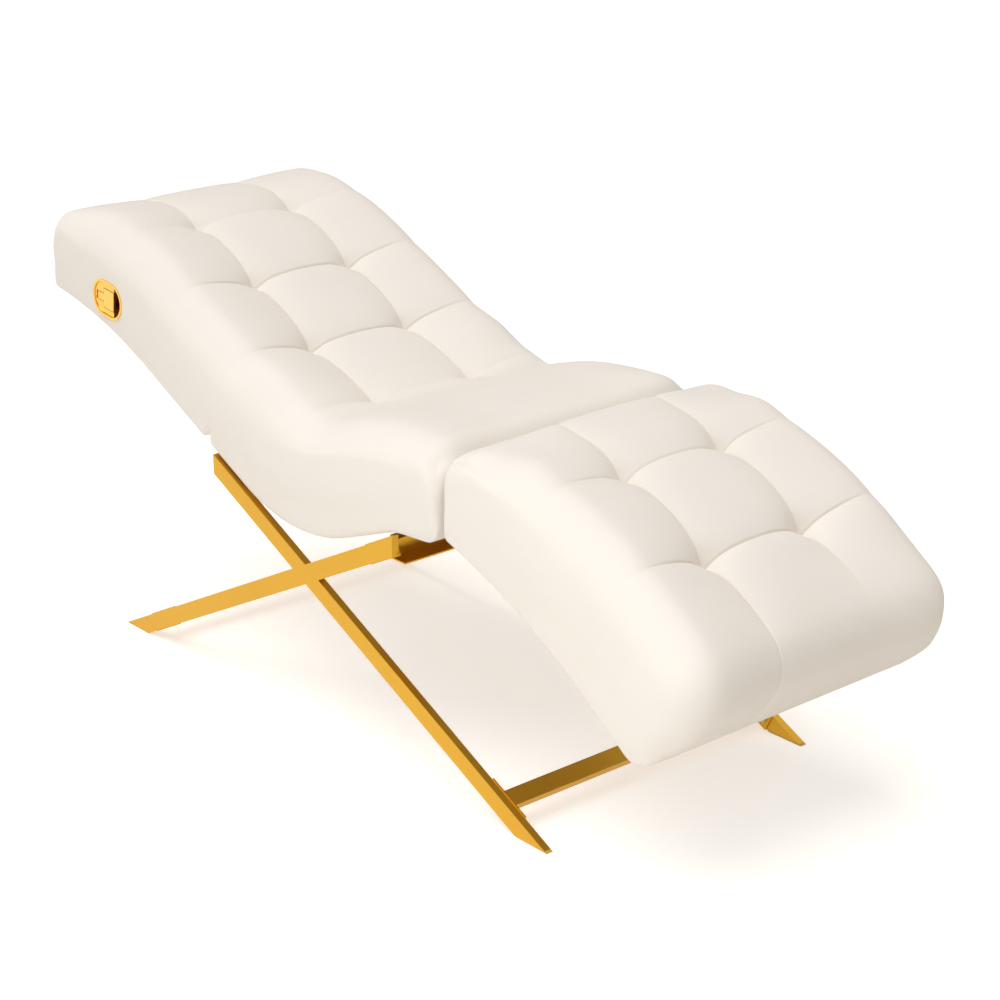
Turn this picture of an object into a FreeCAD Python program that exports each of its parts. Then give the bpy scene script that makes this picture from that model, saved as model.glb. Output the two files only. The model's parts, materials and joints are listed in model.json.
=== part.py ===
import FreeCAD, Part
import math
import os

# Lash chair: a curved treatment bed of three padded cushions on a crossed base of flat tube.
# Millimetres. X runs from the head end to the foot end, Y across, Z up from the floor.
# The right side is -Y and carries the pull handle.

# Side view of the cushions
JOINT_X = -328.0
JOINT_Z = 655.0
JOINT_SLOPE = 25.5
BACK_REACH = 612.7
SEAT_REACH = 634.0
BACK_THICKNESS = 172.0
SEAT_THICKNESS = 180.0
BACK_STRAIGHT = 265.0
BACK_HEAD_RADIUS = 750.0
BACK_UNDER_STRAIGHT = 228.0
BACK_UNDER_RADIUS = 1096.0
SEAT_REAR_RADIUS = 700.0
SEAT_HOLLOW_RADIUS = 280.0
SEAT_FRONT_RADIUS = 1007.0
SEAT_UNDER_STRAIGHT = 142.0
SEAT_UNDER_RADIUS = 404.0
SEAT_UNDER_RISE = 130.0
SEAT_UNDER_KNEE_RADIUS = 150.0
LEG_GAP = 17.0
LEG_TOP_RISE = 56.0
LEG_UNDER_DROP = 154.0
LEG_UNDER_SETBACK = 4.0
LEG_TOP_RADIUS = 1300.0
LEG_UNDER_RADIUS = 1310.0

# Slopes and turns of the cushions, in degrees
BACK_UNDER_HEAD_PITCH = 8.0
SEAT_REAR_PITCH = 12.0
SEAT_HOLLOW_TURN = 29.0
SEAT_UNDER_PITCH = 21.0
SEAT_UNDER_KNEE_TURN = 17.0
LEG_TOP_PITCH = 9.6
LEG_TOP_TURN = 30.9
LEG_UNDER_PITCH = 16.5
LEG_UNDER_TURN = 25.4

# Padding
PAD_HALF_WIDTH = 328.0
SIDE_DRAW = 4.0
CORNER_RADIUS = 40.0
CROWN = 16.0
ROW_CHANNEL = 6.0
COLUMN_CHANNEL = 6.0
TUFT_DEPTH = 16.0
SEAT_CROWN = 14.0
COLUMN_Y = 118.0
BACK_ROW_PITCH = 207.0
SEAT_ROW = 210.0
LEG_FIRST_ROW = 253.0
LEG_SECOND_ROW = 477.0
HEAD_ROUND = 45.0
SEAT_FRONT_ROUND = 55.0
SEAT_UNDER_ROUND = 30.0
LEG_REAR_ROUND = 100.0
LEG_NOSE_ROUND = 50.0
PLAN_ROUND = 18.0
SLIT = 3.0
TOP_FOAM = 60.0
SIDE_FOAM = 14.0
END_FOAM = 14.0

# Inner structure of the cushions
BOARD = 18.0
BOARD_CLEARANCE = 0.5
WEBBING = 2.0
WEBBING_WIDTH = 60.0
WEBBING_PITCH = 95.0
UNDER_PANEL = 4.0
PANEL_INSET = 1.0
RAIL_TIMBER = 22.0
MOUNT_TIMBER_WIDTH = 60.0
MOUNT_TIMBER_HEIGHT = 40.0

# Crossed base
FRAME_PROUD = 2.0
FRAME_HALF_WIDTH = PAD_HALF_WIDTH + FRAME_PROUD
TUBE_WIDTH = 36.0
TUBE_DEPTH = 15.0
TUBE_WALL = 1.5
HEAD_FOOT_X = -723.0
HEAD_LEG_TOP_SETBACK = 120.0
HEAD_LEG_TOP_X = JOINT_X + SEAT_REACH - HEAD_LEG_TOP_SETBACK
FOOT_FOOT_X = 611.0
FOOT_LEG_TOP_X = -371.0
LEG_CLEARANCE = 5.0
END_CAP = 2.0
GLIDE = 3.0
GLIDE_PLUG = 12.0
PLUG_CLEARANCE = 0.2
FLANGE = 3.0
FLANGE_LENGTH = 98.0
FLANGE_HEIGHT = 39.0
LOWER_RAIL_FROM_FOOT = 132.0
UPPER_RAIL_FROM_TOP = 55.0
CHANNEL_FLANGE_FROM_TOP = 60.0
CHANNEL_WALL = 3.0
CHANNEL_WIDTH = 26.0
CHANNEL_HEIGHT = 46.0
CHANNEL_LIP = 16.0
BOLT_RADIUS = 4.0
BOLT_HOLE_CLEARANCE = 0.3
BOLT_HEAD_RADIUS = 7.0
BOLT_HEAD = 5.0
NUT = 6.0
FLANGE_BOLT_PITCH = 70.0
SEAT_BOLT_Y = 200.0
SEAT_BOLT_GRIP = 30.0
SPACER_WIDTH = 30.0

# Hinges between the cushions
RECLINE = 35.0
BACK_HINGE_DEPTH = 30.0
LEG_HINGE_DROP = 115.0
HINGE_ARM = 55.0
HINGE_DROP = 75.0
LEG_HINGE_ARM = 62.0
HINGE_PLATE = 4.0
HINGE_PLATE_GAP = 0.5
HINGE_EYE = 14.0
HINGE_PIN_RADIUS = 6.0
PIN_CLEARANCE = 0.05
HINGE_PIN_HEAD = 3.0
HINGE_POCKET = 2.0
HINGE_BOLT_RADIUS = 3.0
HINGE_BOLT_LENGTH = 15.0
SEAM_CLEARANCE_ANGLE = 2.5

# Lockable gas spring that holds the backrest
GAS_ARM = 95.0
GAS_MID_LENGTH = 250.0
GAS_BODY_RADIUS = 14.0
GAS_BODY_WALL = 1.5
GAS_BODY_LENGTH = 150.0
GAS_END_WALL = 10.0
GAS_ROD_RADIUS = 5.0
GAS_PISTON = 12.0
GAS_EYE_RADIUS = 11.0
GAS_EYE_WIDTH = 20.0
GAS_PIN_RADIUS = 5.0
GAS_PIVOT_FREEDOM = 3.8
CHEEK = 4.0
CHEEK_GAP = 0.6
BRACKET_PLATE = 4.0
BRACKET_HALF_WIDTH = 40.0
BRACKET_HALF_HEIGHT = 24.0
BRACKET_REACH = 18.0
SEAT_BRACKET_SETBACK = 8.0

# Pull handle in the right side of the backrest
HANDLE_ALONG = 404.0
HANDLE_RISE = 51.0
HANDLE_TILT = 6.0
BEZEL_LENGTH = 105.0
BEZEL_WIDTH = 77.0
BEZEL = 3.0
BEZEL_RIM = 5.0
CUP_WALL = 2.5
CUP_FLOOR = 3.0
RETAINER = 3.0
RETAINER_RIM = 4.0
RETAINER_EAR = 14.0
SCREW_RADIUS = 2.0
SCREW_HEAD = 2.0
SCREW_LENGTH = 12.0
PADDLE = 5.0
PADDLE_PIVOT_U = -34.0
PADDLE_NECK_U = -14.0
PADDLE_END_U = 22.0
PADDLE_STEM_HALF = 8.0
PADDLE_BODY_HALF = 20.0
PADDLE_BARREL = 5.0
PADDLE_PIN_RADIUS = 2.0
PADDLE_PIVOT_DEPTH = 7.0
LEVER_LENGTH = 40.0
LEVER = 4.0
LEVER_EYE = 9.0
LEVER_LEAN = 15.0
LEVER_GAP = 8.0
CABLE_RADIUS = 2.5
CABLE_EXIT_U = -20.0
CABLE_END_GAP = 20.0

V = FreeCAD.Vector
SIDES = (("right", -1), ("left", 1))
FAR = 3000.0
STATION_PITCH = 45.0
STATION_MERGE = 0.01
PANEL_STATIONS = (0.0, 0.08, 0.25, 0.5, 0.75, 0.92)
PLAIN_STATIONS = (0.15, 0.4, 0.7, 1.0)
PLAIN_FROM = 0.7
ROUND_ANGLES = (0.0, 25.0, 50.0, 75.0, 90.0)
OUTER_SHARE = 0.6
PLAIN_COLUMN_SHARE = 0.82
PLAIN_OUTER_SHARE = 0.49


# Side view helpers: points are (x, z) pairs
def arc(radius, turn):
    return radius * math.radians(abs(turn)), turn


def line(length):
    return length, 0.0


def shift(p, direction, distance):
    return p[0] + direction[0] * distance, p[1] + direction[1] * distance


def heading_vector(degrees):
    return math.cos(math.radians(degrees)), math.sin(math.radians(degrees))


def tilt(vector, degrees):
    """Turn a side-view vector about +Y, which lifts what lies toward the head."""
    c = math.cos(math.radians(degrees))
    s = math.sin(math.radians(degrees))
    return vector[0] * c + vector[1] * s, vector[1] * c - vector[0] * s


def toward(p, q):
    length = math.dist(p, q)
    return (q[0] - p[0]) / length, (q[1] - p[1]) / length


class Path:
    """A run of straight lines and tangent arcs in the side view."""

    def __init__(self, start, heading, pieces):
        self.start = start
        self.heading = heading
        self.pieces = pieces

    def length(self):
        return sum(piece[0] for piece in self.pieces)

    def at(self, distance):
        """The point at a distance along the path, which runs on past both ends."""
        p = self.start
        heading = self.heading
        if distance < 0:
            return shift(p, heading_vector(heading), distance)
        for index, (length, turn) in enumerate(self.pieces):
            last = index == len(self.pieces) - 1
            step = distance if last else min(distance, length)
            swing = turn * step / length
            chord = step
            if swing:
                half = math.radians(swing) / 2
                chord = step * math.sin(half) / half
            p = shift(p, heading_vector(heading + swing / 2), chord)
            heading += swing
            distance -= step
            if distance <= 0:
                break
        return p

    def reach(self, x):
        """End the path at this x, by a last straight line or by a shorter last piece."""
        end = self.at(self.length())
        heading = self.heading + sum(piece[1] for piece in self.pieces)
        missing = (x - end[0]) / heading_vector(heading)[0]
        if missing < 0:
            spare = self.length() - self.distance_at_x(x)
            length, turn = self.pieces.pop()
            self.pieces.append((length - spare, turn * (length - spare) / length))
        else:
            self.pieces.append(line(missing))
        return self

    def distance_at_x(self, x):
        low = 0.0
        high = self.length()
        forward = self.at(high)[0] > self.at(low)[0]
        for _ in range(50):
            middle = (low + high) / 2
            if (self.at(middle)[0] < x) == forward:
                low = middle
            else:
                high = middle
        return low

    def height_at_x(self, x):
        return self.at(self.distance_at_x(x))[1]


def from_under(distance):
    return lambda height: distance


def from_top(distance):
    return lambda height: height - distance


class Cushion:
    """A cushion between a top path and an underside path that start and end together."""

    def __init__(self, top, under):
        self.top = top
        self.under = under
        self.length = top.length()
        self.steps = int(self.length // STATION_PITCH)

    def frame(self, s):
        """The underside point, the upward direction and the height of the section at s."""
        low = self.under.at(s / self.length * self.under.length())
        high = self.top.at(s)
        return low, toward(low, high), math.dist(low, high)

    def place(self, s, y, up):
        low, direction, height = self.frame(s)
        x, z = shift(low, direction, up(height))
        return V(x, y, z)

    def place_flat(self, s, y, up):
        """As place, on the flats between even stations, which all carcase pieces share."""
        pitch = self.length / self.steps
        before = min(max(int(s // pitch), 0), self.steps - 1)
        low = self.place(before * pitch, y, up)
        high = self.place((before + 1) * pitch, y, up)
        return low + (high - low) * (s / pitch - before)

    def s_through(self, p):
        """The distance along the cushion of the section that holds this point."""
        low = 0.0
        high = self.length
        forward = self.top.at(high)[0] > self.top.at(low)[0]
        for _ in range(50):
            middle = (low + high) / 2
            foot, up, _ = self.frame(middle)
            ahead = (p[0] - foot[0]) * up[1] - (p[1] - foot[1]) * up[0] > 0
            if ahead == forward:
                low = middle
            else:
                high = middle
        return low

    def slab(self, start, end, y_low, y_high, lower, upper):
        """A solid that follows the cushion between two heights and two widths."""
        grid = [self.length * k / self.steps for k in range(self.steps + 1)]
        inner = [s for s in grid if start + STATION_MERGE < s < end - STATION_MERGE]
        stations = [start] + inner + [end]
        wires = []
        for s in stations:
            corners = [
                self.place_flat(s, y_low, lower),
                self.place_flat(s, y_high, lower),
                self.place_flat(s, y_high, upper),
                self.place_flat(s, y_low, upper),
            ]
            wires.append(Part.makePolygon(corners + corners[:1]))
        return Part.makeLoft(wires, True, True)


# Solid helpers
def outline(points, y_low, y_high):
    corners = [V(x, y_low, z) for x, z in points]
    face = Part.Face(Part.makePolygon(corners + corners[:1]))
    return face.extrude(V(0, y_high - y_low, 0))


def cross_pin(p, radius, y_low, y_high):
    return Part.makeCylinder(radius, y_high - y_low, V(p[0], y_low, p[1]), V(0, 1, 0))


def link(p, q, radius, y_low, y_high):
    """A flat bar with round ends from p to q."""
    along = toward(p, q)
    across = (-along[1], along[0])
    near = [shift(p, across, radius), shift(q, across, radius)]
    far = [shift(q, across, -radius), shift(p, across, -radius)]
    ends = [cross_pin(p, radius, y_low, y_high), cross_pin(q, radius, y_low, y_high)]
    return outline(near + far, y_low, y_high).fuse(ends).removeSplitter()


def box(x_low, x_high, y_low, y_high, z_low, z_high):
    return Part.makeBox(x_high - x_low, y_high - y_low, z_high - z_low, V(x_low, y_low, z_low))


def mirrored(shape):
    return shape.mirror(V(0, 0, 0), V(0, 1, 0))


def both_sides(shapes):
    return shapes + [mirrored(shape) for shape in shapes]


def sided(y_inner, y_outer, sign):
    """Order a pair of widths for one side of the chair."""
    return tuple(sorted((sign * y_inner, sign * y_outer)))


nodes = {}


def add(name, *shapes):
    """Keep a node as one solid, or as a group of separate solids."""
    solids = [solid for shape in shapes for solid in shape.Solids]
    nodes[name] = solids[0] if len(solids) == 1 else Part.makeCompound(solids)


# Paths of the three cushions
joint = (JOINT_X, JOINT_Z)
along_back = heading_vector(180 - JOINT_SLOPE)
along_seat = heading_vector(-JOINT_SLOPE)
slit_down = (-math.sin(math.radians(JOINT_SLOPE)), -math.cos(math.radians(JOINT_SLOPE)))
head_x = JOINT_X - BACK_REACH
seat_front_x = JOINT_X + SEAT_REACH
leg_rear_x = seat_front_x + LEG_GAP

back = Cushion(
    Path(joint, 180 - JOINT_SLOPE, [line(BACK_STRAIGHT), arc(BACK_HEAD_RADIUS, JOINT_SLOPE)]).reach(head_x),
    Path(
        shift(joint, slit_down, BACK_THICKNESS),
        180 - JOINT_SLOPE,
        [line(BACK_UNDER_STRAIGHT), arc(BACK_UNDER_RADIUS, JOINT_SLOPE - BACK_UNDER_HEAD_PITCH)],
    ).reach(head_x),
)
seat = Cushion(
    Path(
        joint,
        -JOINT_SLOPE,
        [
            arc(SEAT_REAR_RADIUS, JOINT_SLOPE - SEAT_REAR_PITCH),
            arc(SEAT_HOLLOW_RADIUS, SEAT_HOLLOW_TURN),
            arc(SEAT_FRONT_RADIUS, SEAT_REAR_PITCH - SEAT_HOLLOW_TURN),
        ],
    ).reach(seat_front_x),
    Path(
        shift(joint, slit_down, SEAT_THICKNESS),
        -JOINT_SLOPE,
        [
            line(SEAT_UNDER_STRAIGHT),
            arc(SEAT_UNDER_RADIUS, JOINT_SLOPE + SEAT_UNDER_PITCH),
            line(SEAT_UNDER_RISE),
            arc(SEAT_UNDER_KNEE_RADIUS, -SEAT_UNDER_KNEE_TURN),
        ],
    ).reach(seat_front_x),
)
leg_rest = Cushion(
    Path((leg_rear_x, JOINT_Z + LEG_TOP_RISE), -LEG_TOP_PITCH, [arc(LEG_TOP_RADIUS, -LEG_TOP_TURN)]),
    Path(
        (leg_rear_x + LEG_UNDER_SETBACK, JOINT_Z - LEG_UNDER_DROP),
        -LEG_UNDER_PITCH,
        [arc(LEG_UNDER_RADIUS, -LEG_UNDER_TURN)],
    ),
)


# Padding
def pillow(t, open_start, open_end):
    """How full a panel is between two sewn rows; an open end stays full to the edge."""
    if (open_start and t < 0.5) or (open_end and t > 0.5):
        return 1.0
    return 1.0 - (2.0 * t - 1.0) ** 4


def tufted_crown(fullness):
    column = -COLUMN_CHANNEL - (TUFT_DEPTH - COLUMN_CHANNEL) * (1.0 - fullness)
    middle = CROWN * fullness - ROW_CHANNEL * (1.0 - fullness)
    return column, middle, OUTER_SHARE * middle


def plain_crown():
    return PLAIN_COLUMN_SHARE * SEAT_CROWN, SEAT_CROWN, PLAIN_OUTER_SHARE * SEAT_CROWN


def blend(one, other, share):
    return tuple(a + (b - a) * share for a, b in zip(one, other))


def round_stations(radius):
    """Distance from an end and loss of height along a rounded edge."""
    for angle in ROUND_ANGLES:
        turn = math.radians(angle)
        yield radius * (1.0 - math.cos(turn)), radius * (1.0 - math.sin(turn))


def edge_loss(distance, radius):
    if distance >= radius:
        return 0.0
    return radius - math.sqrt(radius**2 - (radius - distance) ** 2)


def pad_section(cushion, s, crown, top_loss, under_raise, inset):
    column, middle, outer = crown
    height = cushion.frame(s)[2]
    low = under_raise
    high = height - top_loss
    knee = high - CORNER_RADIUS
    half_low = PAD_HALF_WIDTH - SIDE_DRAW - inset
    half_mid = PAD_HALF_WIDTH - inset
    half_high = PAD_HALF_WIDTH - SIDE_DRAW / 2 - inset
    shoulder = half_high - CORNER_RADIUS
    diagonal = CORNER_RADIUS * math.sqrt(0.5)
    side = [
        (half_low, low),
        (half_mid, (low + knee) / 2),
        (half_high, knee),
        (shoulder + diagonal, knee + diagonal),
        (shoulder, high),
        ((shoulder + COLUMN_Y) / 2, high + outer),
        (COLUMN_Y, high + column),
    ]
    loop = side + [(0.0, high + middle)] + [(-y, v) for y, v in reversed(side)]
    points = [cushion.place(s, y, from_under(v)) for y, v in loop]
    edges = [Part.Arc(*points[k : k + 3]).toShape() for k in range(0, len(points) - 1, 2)]
    edges.append(Part.LineSegment(points[-1], points[0]).toShape())
    return Part.Wire(edges)


def pad_solid(cushion, crowns, start_rounds, end_rounds):
    """Loft a pad through its sewn rows. Rounds are (top, under, plan) radii at each end."""
    length = cushion.length
    stations = set(crowns)
    for radius in start_rounds:
        stations.update(distance for distance, _ in round_stations(radius) if radius)
    for radius in end_rounds:
        stations.update(length - distance for distance, _ in round_stations(radius) if radius)
    known = sorted(crowns)
    wires = []
    for s in sorted(stations):
        before = max((k for k in known if k <= s), default=known[0])
        after = min((k for k in known if k >= s), default=known[-1])
        share = (s - before) / (after - before) if after > before else 0.0
        losses = [max(edge_loss(s, a), edge_loss(length - s, b)) for a, b in zip(start_rounds, end_rounds)]
        wires.append(pad_section(cushion, s, blend(crowns[before], crowns[after], share), *losses))
    return Part.makeLoft(wires, True, True)


def row_crowns(rows, start, end):
    """Crowns along a tufted cushion whose sewn rows are at these distances."""
    edges = ([] if start in rows else [start]) + list(rows) + ([] if end in rows else [end])
    crowns = {}
    for low, high in zip(edges, edges[1:]):
        for t in PANEL_STATIONS + (1.0,):
            crowns[low + (high - low) * t] = tufted_crown(pillow(t, low not in rows, high not in rows))
    return crowns


def seat_crowns():
    crowns = row_crowns((0.0, SEAT_ROW), 0.0, SEAT_ROW)
    row = tufted_crown(0.0)
    for t in PLAIN_STATIONS:
        fade = math.sin(math.radians(90.0 * min(1.0, t / PLAIN_FROM)))
        crowns[SEAT_ROW + (seat.length - SEAT_ROW) * t] = blend(row, plain_crown(), fade)
    return crowns


def from_slit(crowns):
    """Start a pad half the slit away from the crease."""
    crowns[SLIT / 2] = crowns.pop(0.0)
    return crowns


# Hinge points
back_hinge = shift(joint, slit_down, BACK_HINGE_DEPTH)
seat_anchor = shift(shift(back_hinge, along_seat, HINGE_ARM), slit_down, HINGE_DROP)
back_anchor = shift(shift(back_hinge, along_back, HINGE_ARM), slit_down, HINGE_DROP)
leg_hinge = (seat_front_x + LEG_GAP / 2, JOINT_Z - LEG_HINGE_DROP)
seat_front_anchor = (leg_hinge[0] - LEG_HINGE_ARM, leg_hinge[1])
leg_anchor = (leg_hinge[0] + LEG_HINGE_ARM, leg_hinge[1])

# Widths of the layers from the pad's side inward
cavity_half = PAD_HALF_WIDTH - SIDE_FOAM
board_outer = cavity_half - BOARD_CLEARANCE
board_inner = board_outer - BOARD
plate_inner = board_inner - HINGE_PLATE
swing_outer = plate_inner - HINGE_PLATE_GAP
swing_inner = swing_outer - HINGE_PLATE
pin_head_outer = swing_inner - HINGE_PLATE_GAP
pin_head_inner = pin_head_outer - HINGE_PIN_HEAD


def hinge_pockets(axis, anchor):
    """Room for one half of a hinge in the padding and the timber."""
    low = pin_head_inner - HINGE_POCKET
    high = board_inner + BOARD_CLEARANCE
    return both_sides([link(axis, anchor, HINGE_EYE + HINGE_POCKET, low, high)])


def hinge_bolt_points(axis, anchor):
    return [shift(axis, toward(axis, anchor), math.dist(axis, anchor) * share) for share in (0.68, 1.0)]


def fixed_plate(axis, anchor):
    """The plate that lies on a seat board and holds the pin."""
    plate = link(axis, anchor, HINGE_EYE, plate_inner, board_inner)
    holes = [cross_pin(axis, HINGE_PIN_RADIUS, plate_inner, board_inner)]
    for p in hinge_bolt_points(axis, anchor):
        holes.append(cross_pin(p, HINGE_BOLT_RADIUS, plate_inner, board_inner))
    return both_sides([plate.cut(holes)])


def swing_plate(axis, anchor):
    """The plate that turns on the pin, stepped out to the moving board."""
    plate = link(axis, anchor, HINGE_EYE, swing_inner, swing_outer)
    near, far = hinge_bolt_points(axis, anchor)
    step = link(near, far, HINGE_EYE - HINGE_POCKET, swing_outer, board_inner)
    holes = [cross_pin(axis, HINGE_PIN_RADIUS + PIN_CLEARANCE, swing_inner, swing_outer)]
    for p in (near, far):
        holes.append(cross_pin(p, HINGE_BOLT_RADIUS, swing_inner, board_inner))
    return both_sides([plate.fuse(step).removeSplitter().cut(holes)])


def hinge_pin(axis):
    shank = cross_pin(axis, HINGE_PIN_RADIUS, pin_head_outer, board_inner)
    head = cross_pin(axis, HINGE_PIN_RADIUS * 1.5, pin_head_inner, pin_head_outer)
    return both_sides([shank.fuse(head)])


def hinge_bolts(axis, anchor, head_face):
    bolts = []
    for p in hinge_bolt_points(axis, anchor):
        shank = cross_pin(p, HINGE_BOLT_RADIUS, head_face, board_inner + HINGE_BOLT_LENGTH)
        head = cross_pin(p, HINGE_BOLT_RADIUS * 1.8, head_face - HINGE_BOLT_RADIUS, head_face)
        bolts.append(shank.fuse(head))
    return both_sides(bolts)


def hinge_bolt_holes(axis, anchor):
    holes = []
    for p in hinge_bolt_points(axis, anchor):
        holes.append(cross_pin(p, HINGE_BOLT_RADIUS, board_inner, board_inner + HINGE_BOLT_LENGTH))
    return both_sides(holes)


# Gas spring points: at half recline the arm and the spring are square to each other
gas_seat = shift(back_hinge, tilt(slit_down, RECLINE / 2), GAS_ARM)
arm_direction = toward(back_hinge, gas_seat)
gas_back_mid = shift(gas_seat, (arm_direction[1], -arm_direction[0]), GAS_MID_LENGTH)
gas_back_offset = tilt((gas_back_mid[0] - back_hinge[0], gas_back_mid[1] - back_hinge[1]), -RECLINE / 2)
gas_back = (back_hinge[0] + gas_back_offset[0], back_hinge[1] + gas_back_offset[1])
gas_along = toward(gas_seat, gas_back)
cheek_inner = GAS_EYE_WIDTH / 2 + CHEEK_GAP
cheek_outer = cheek_inner + CHEEK
gas_pin_half = cheek_outer + CHEEK / 2

# Distances along the backrest and the seat to the gas spring's brackets
back_plate_s = back.s_through(gas_back) + BRACKET_REACH
seat_plate_s = SEAT_BRACKET_SETBACK


def bracket(cushion, plate_s, pivot, timber):
    """A clevis: a plate on the timber and two cheeks around the pivot."""
    low, up, _ = cushion.frame(plate_s + BRACKET_PLATE / 2)
    level = (pivot[0] - low[0]) * up[0] + (pivot[1] - low[1]) * up[1]
    plate = cushion.slab(
        plate_s,
        plate_s + BRACKET_PLATE,
        -BRACKET_HALF_WIDTH,
        BRACKET_HALF_WIDTH,
        from_under(level - BRACKET_HALF_HEIGHT),
        from_under(level + BRACKET_HALF_HEIGHT),
    )
    foot = shift(low, up, level)
    cheeks = both_sides([link(pivot, foot, GAS_EYE_RADIUS, cheek_inner, cheek_outer)])
    hole = cross_pin(pivot, GAS_PIN_RADIUS, -cheek_outer, cheek_outer)
    return plate.fuse(cheeks).removeSplitter().cut(timber).cut(hole)


# Cushion carcases
board_top = TOP_FOAM + BOARD_CLEARANCE + WEBBING
board_foot = PANEL_INSET + UNDER_PANEL


def cavity(cushion, start, end):
    return cushion.slab(start, end, -cavity_half, cavity_half, from_under(-TOP_FOAM), from_top(TOP_FOAM))


def boards(cushion, start, end):
    pair = []
    for _, sign in SIDES:
        y_low, y_high = sided(board_inner, board_outer, sign)
        pair.append(cushion.slab(start, end, y_low, y_high, from_under(board_foot), from_top(board_top)))
    return pair


def straps(cushion, start, end):
    count = int((end - start) // WEBBING_PITCH)
    pitch = (end - start) / count
    bands = []
    for k in range(count):
        middle = start + pitch * (k + 0.5)
        bands.append(
            cushion.slab(
                middle - WEBBING_WIDTH / 2,
                middle + WEBBING_WIDTH / 2,
                -board_outer,
                board_outer,
                from_top(board_top),
                from_top(board_top - WEBBING),
            )
        )
    return bands


def under_panel(cushion, start, end):
    lower = from_under(PANEL_INSET)
    upper = from_under(board_foot)
    return cushion.slab(start, end, -board_outer, board_outer, lower, upper)


def timber(cushion, start, end, lower, upper):
    return cushion.slab(start, end, -board_inner, board_inner, lower, upper)


carcase_start = SLIT / 2 + BOARD_CLEARANCE
end_setback = END_FOAM + BOARD_CLEARANCE
back_carcase_end = back.length - end_setback
seat_carcase_end = seat.length - end_setback
leg_carcase_start = end_setback
leg_carcase_end = leg_rest.length - end_setback - LEG_NOSE_ROUND / 2

# Pads and the cuts that they share
wedge_half = RECLINE / 2 + SEAM_CLEARANCE_ANGLE
slit_up = (-slit_down[0], -slit_down[1])
wedge_length = BACK_HINGE_DEPTH * 2
seam_wedge = outline(
    [
        back_hinge,
        shift(back_hinge, tilt(slit_up, wedge_half), wedge_length),
        shift(back_hinge, tilt(slit_up, -wedge_half), wedge_length),
    ],
    -FAR,
    FAR,
)
back_pockets = hinge_pockets(back_hinge, back_anchor)
seat_back_pockets = hinge_pockets(back_hinge, seat_anchor)
seat_front_pockets = hinge_pockets(leg_hinge, seat_front_anchor)
seat_pockets = seat_back_pockets + seat_front_pockets
leg_pockets = hinge_pockets(leg_hinge, leg_anchor)

back_rows = [BACK_ROW_PITCH * k for k in range(3)]
back_pad = pad_solid(
    back,
    from_slit(row_crowns(back_rows, 0.0, back.length)),
    (0.0, 0.0, 0.0),
    (HEAD_ROUND, 0.0, PLAN_ROUND),
)
seat_pad = pad_solid(
    seat,
    from_slit(seat_crowns()),
    (0.0, 0.0, 0.0),
    (SEAT_FRONT_ROUND, SEAT_UNDER_ROUND, PLAN_ROUND),
)
leg_pad = pad_solid(
    leg_rest,
    row_crowns((LEG_FIRST_ROW, LEG_SECOND_ROW), 0.0, leg_rest.length),
    (LEG_REAR_ROUND, 0.0, PLAN_ROUND),
    (LEG_NOSE_ROUND, LEG_NOSE_ROUND, PLAN_ROUND),
)
back_pad = back_pad.cut([cavity(back, -SLIT, back.length - END_FOAM), seam_wedge] + back_pockets)
seat_pad = seat_pad.cut([cavity(seat, -SLIT, seat.length - END_FOAM), seam_wedge] + seat_pockets)
leg_cavity = cavity(leg_rest, END_FOAM, leg_carcase_end + BOARD_CLEARANCE)
leg_pad = leg_pad.cut([leg_cavity] + leg_pockets)

# Seat carcase
front_mount_x = HEAD_LEG_TOP_X - CHANNEL_WIDTH / 2
foot_leg_top_z = seat.under.height_at_x(FOOT_LEG_TOP_X) - LEG_CLEARANCE
head_leg_top_z = seat.under.height_at_x(HEAD_LEG_TOP_X) - LEG_CLEARANCE
head_leg_line = toward((HEAD_FOOT_X, 0.0), (HEAD_LEG_TOP_X, head_leg_top_z))
foot_leg_line = toward((FOOT_FOOT_X, 0.0), (FOOT_LEG_TOP_X, foot_leg_top_z))
head_leg_up = (-head_leg_line[1], head_leg_line[0])
foot_leg_up = (foot_leg_line[1], -foot_leg_line[0])
rear_mount = shift((FOOT_LEG_TOP_X, foot_leg_top_z), foot_leg_line, -UPPER_RAIL_FROM_TOP)


def mount_timber(x):
    s = seat.s_through((x, seat.under.height_at_x(x)))
    half = MOUNT_TIMBER_WIDTH / 2
    crest = board_foot + MOUNT_TIMBER_HEIGHT
    return timber(seat, s - half, s + half, from_under(board_foot), from_under(crest))


seat_bolt_axes = []
for bolt_y in (-SEAT_BOLT_Y, SEAT_BOLT_Y):
    seat_bolt_axes.append((rear_mount, foot_leg_up, TUBE_DEPTH, bolt_y))
channel_top = seat.under.height_at_x(front_mount_x) - LEG_CLEARANCE * 2
for bolt_y in (-SEAT_BOLT_Y, SEAT_BOLT_Y):
    seat_bolt_axes.append(((front_mount_x, channel_top), (0.0, 1.0), CHANNEL_WALL, bolt_y))


def seat_bolt(base, up, grip, y, radius):
    """Shank of a bolt that passes up through a rail of this depth."""
    low = shift(base, up, -grip)
    length = grip + SEAT_BOLT_GRIP
    return Part.makeCylinder(radius, length, V(low[0], y, low[1]), V(up[0], 0, up[1]))


def seat_bolt_head(base, up, grip, y):
    low = shift(base, up, -grip - BOLT_HEAD)
    return Part.makeCylinder(BOLT_HEAD_RADIUS, BOLT_HEAD, V(low[0], y, low[1]), V(up[0], 0, up[1]))


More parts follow.
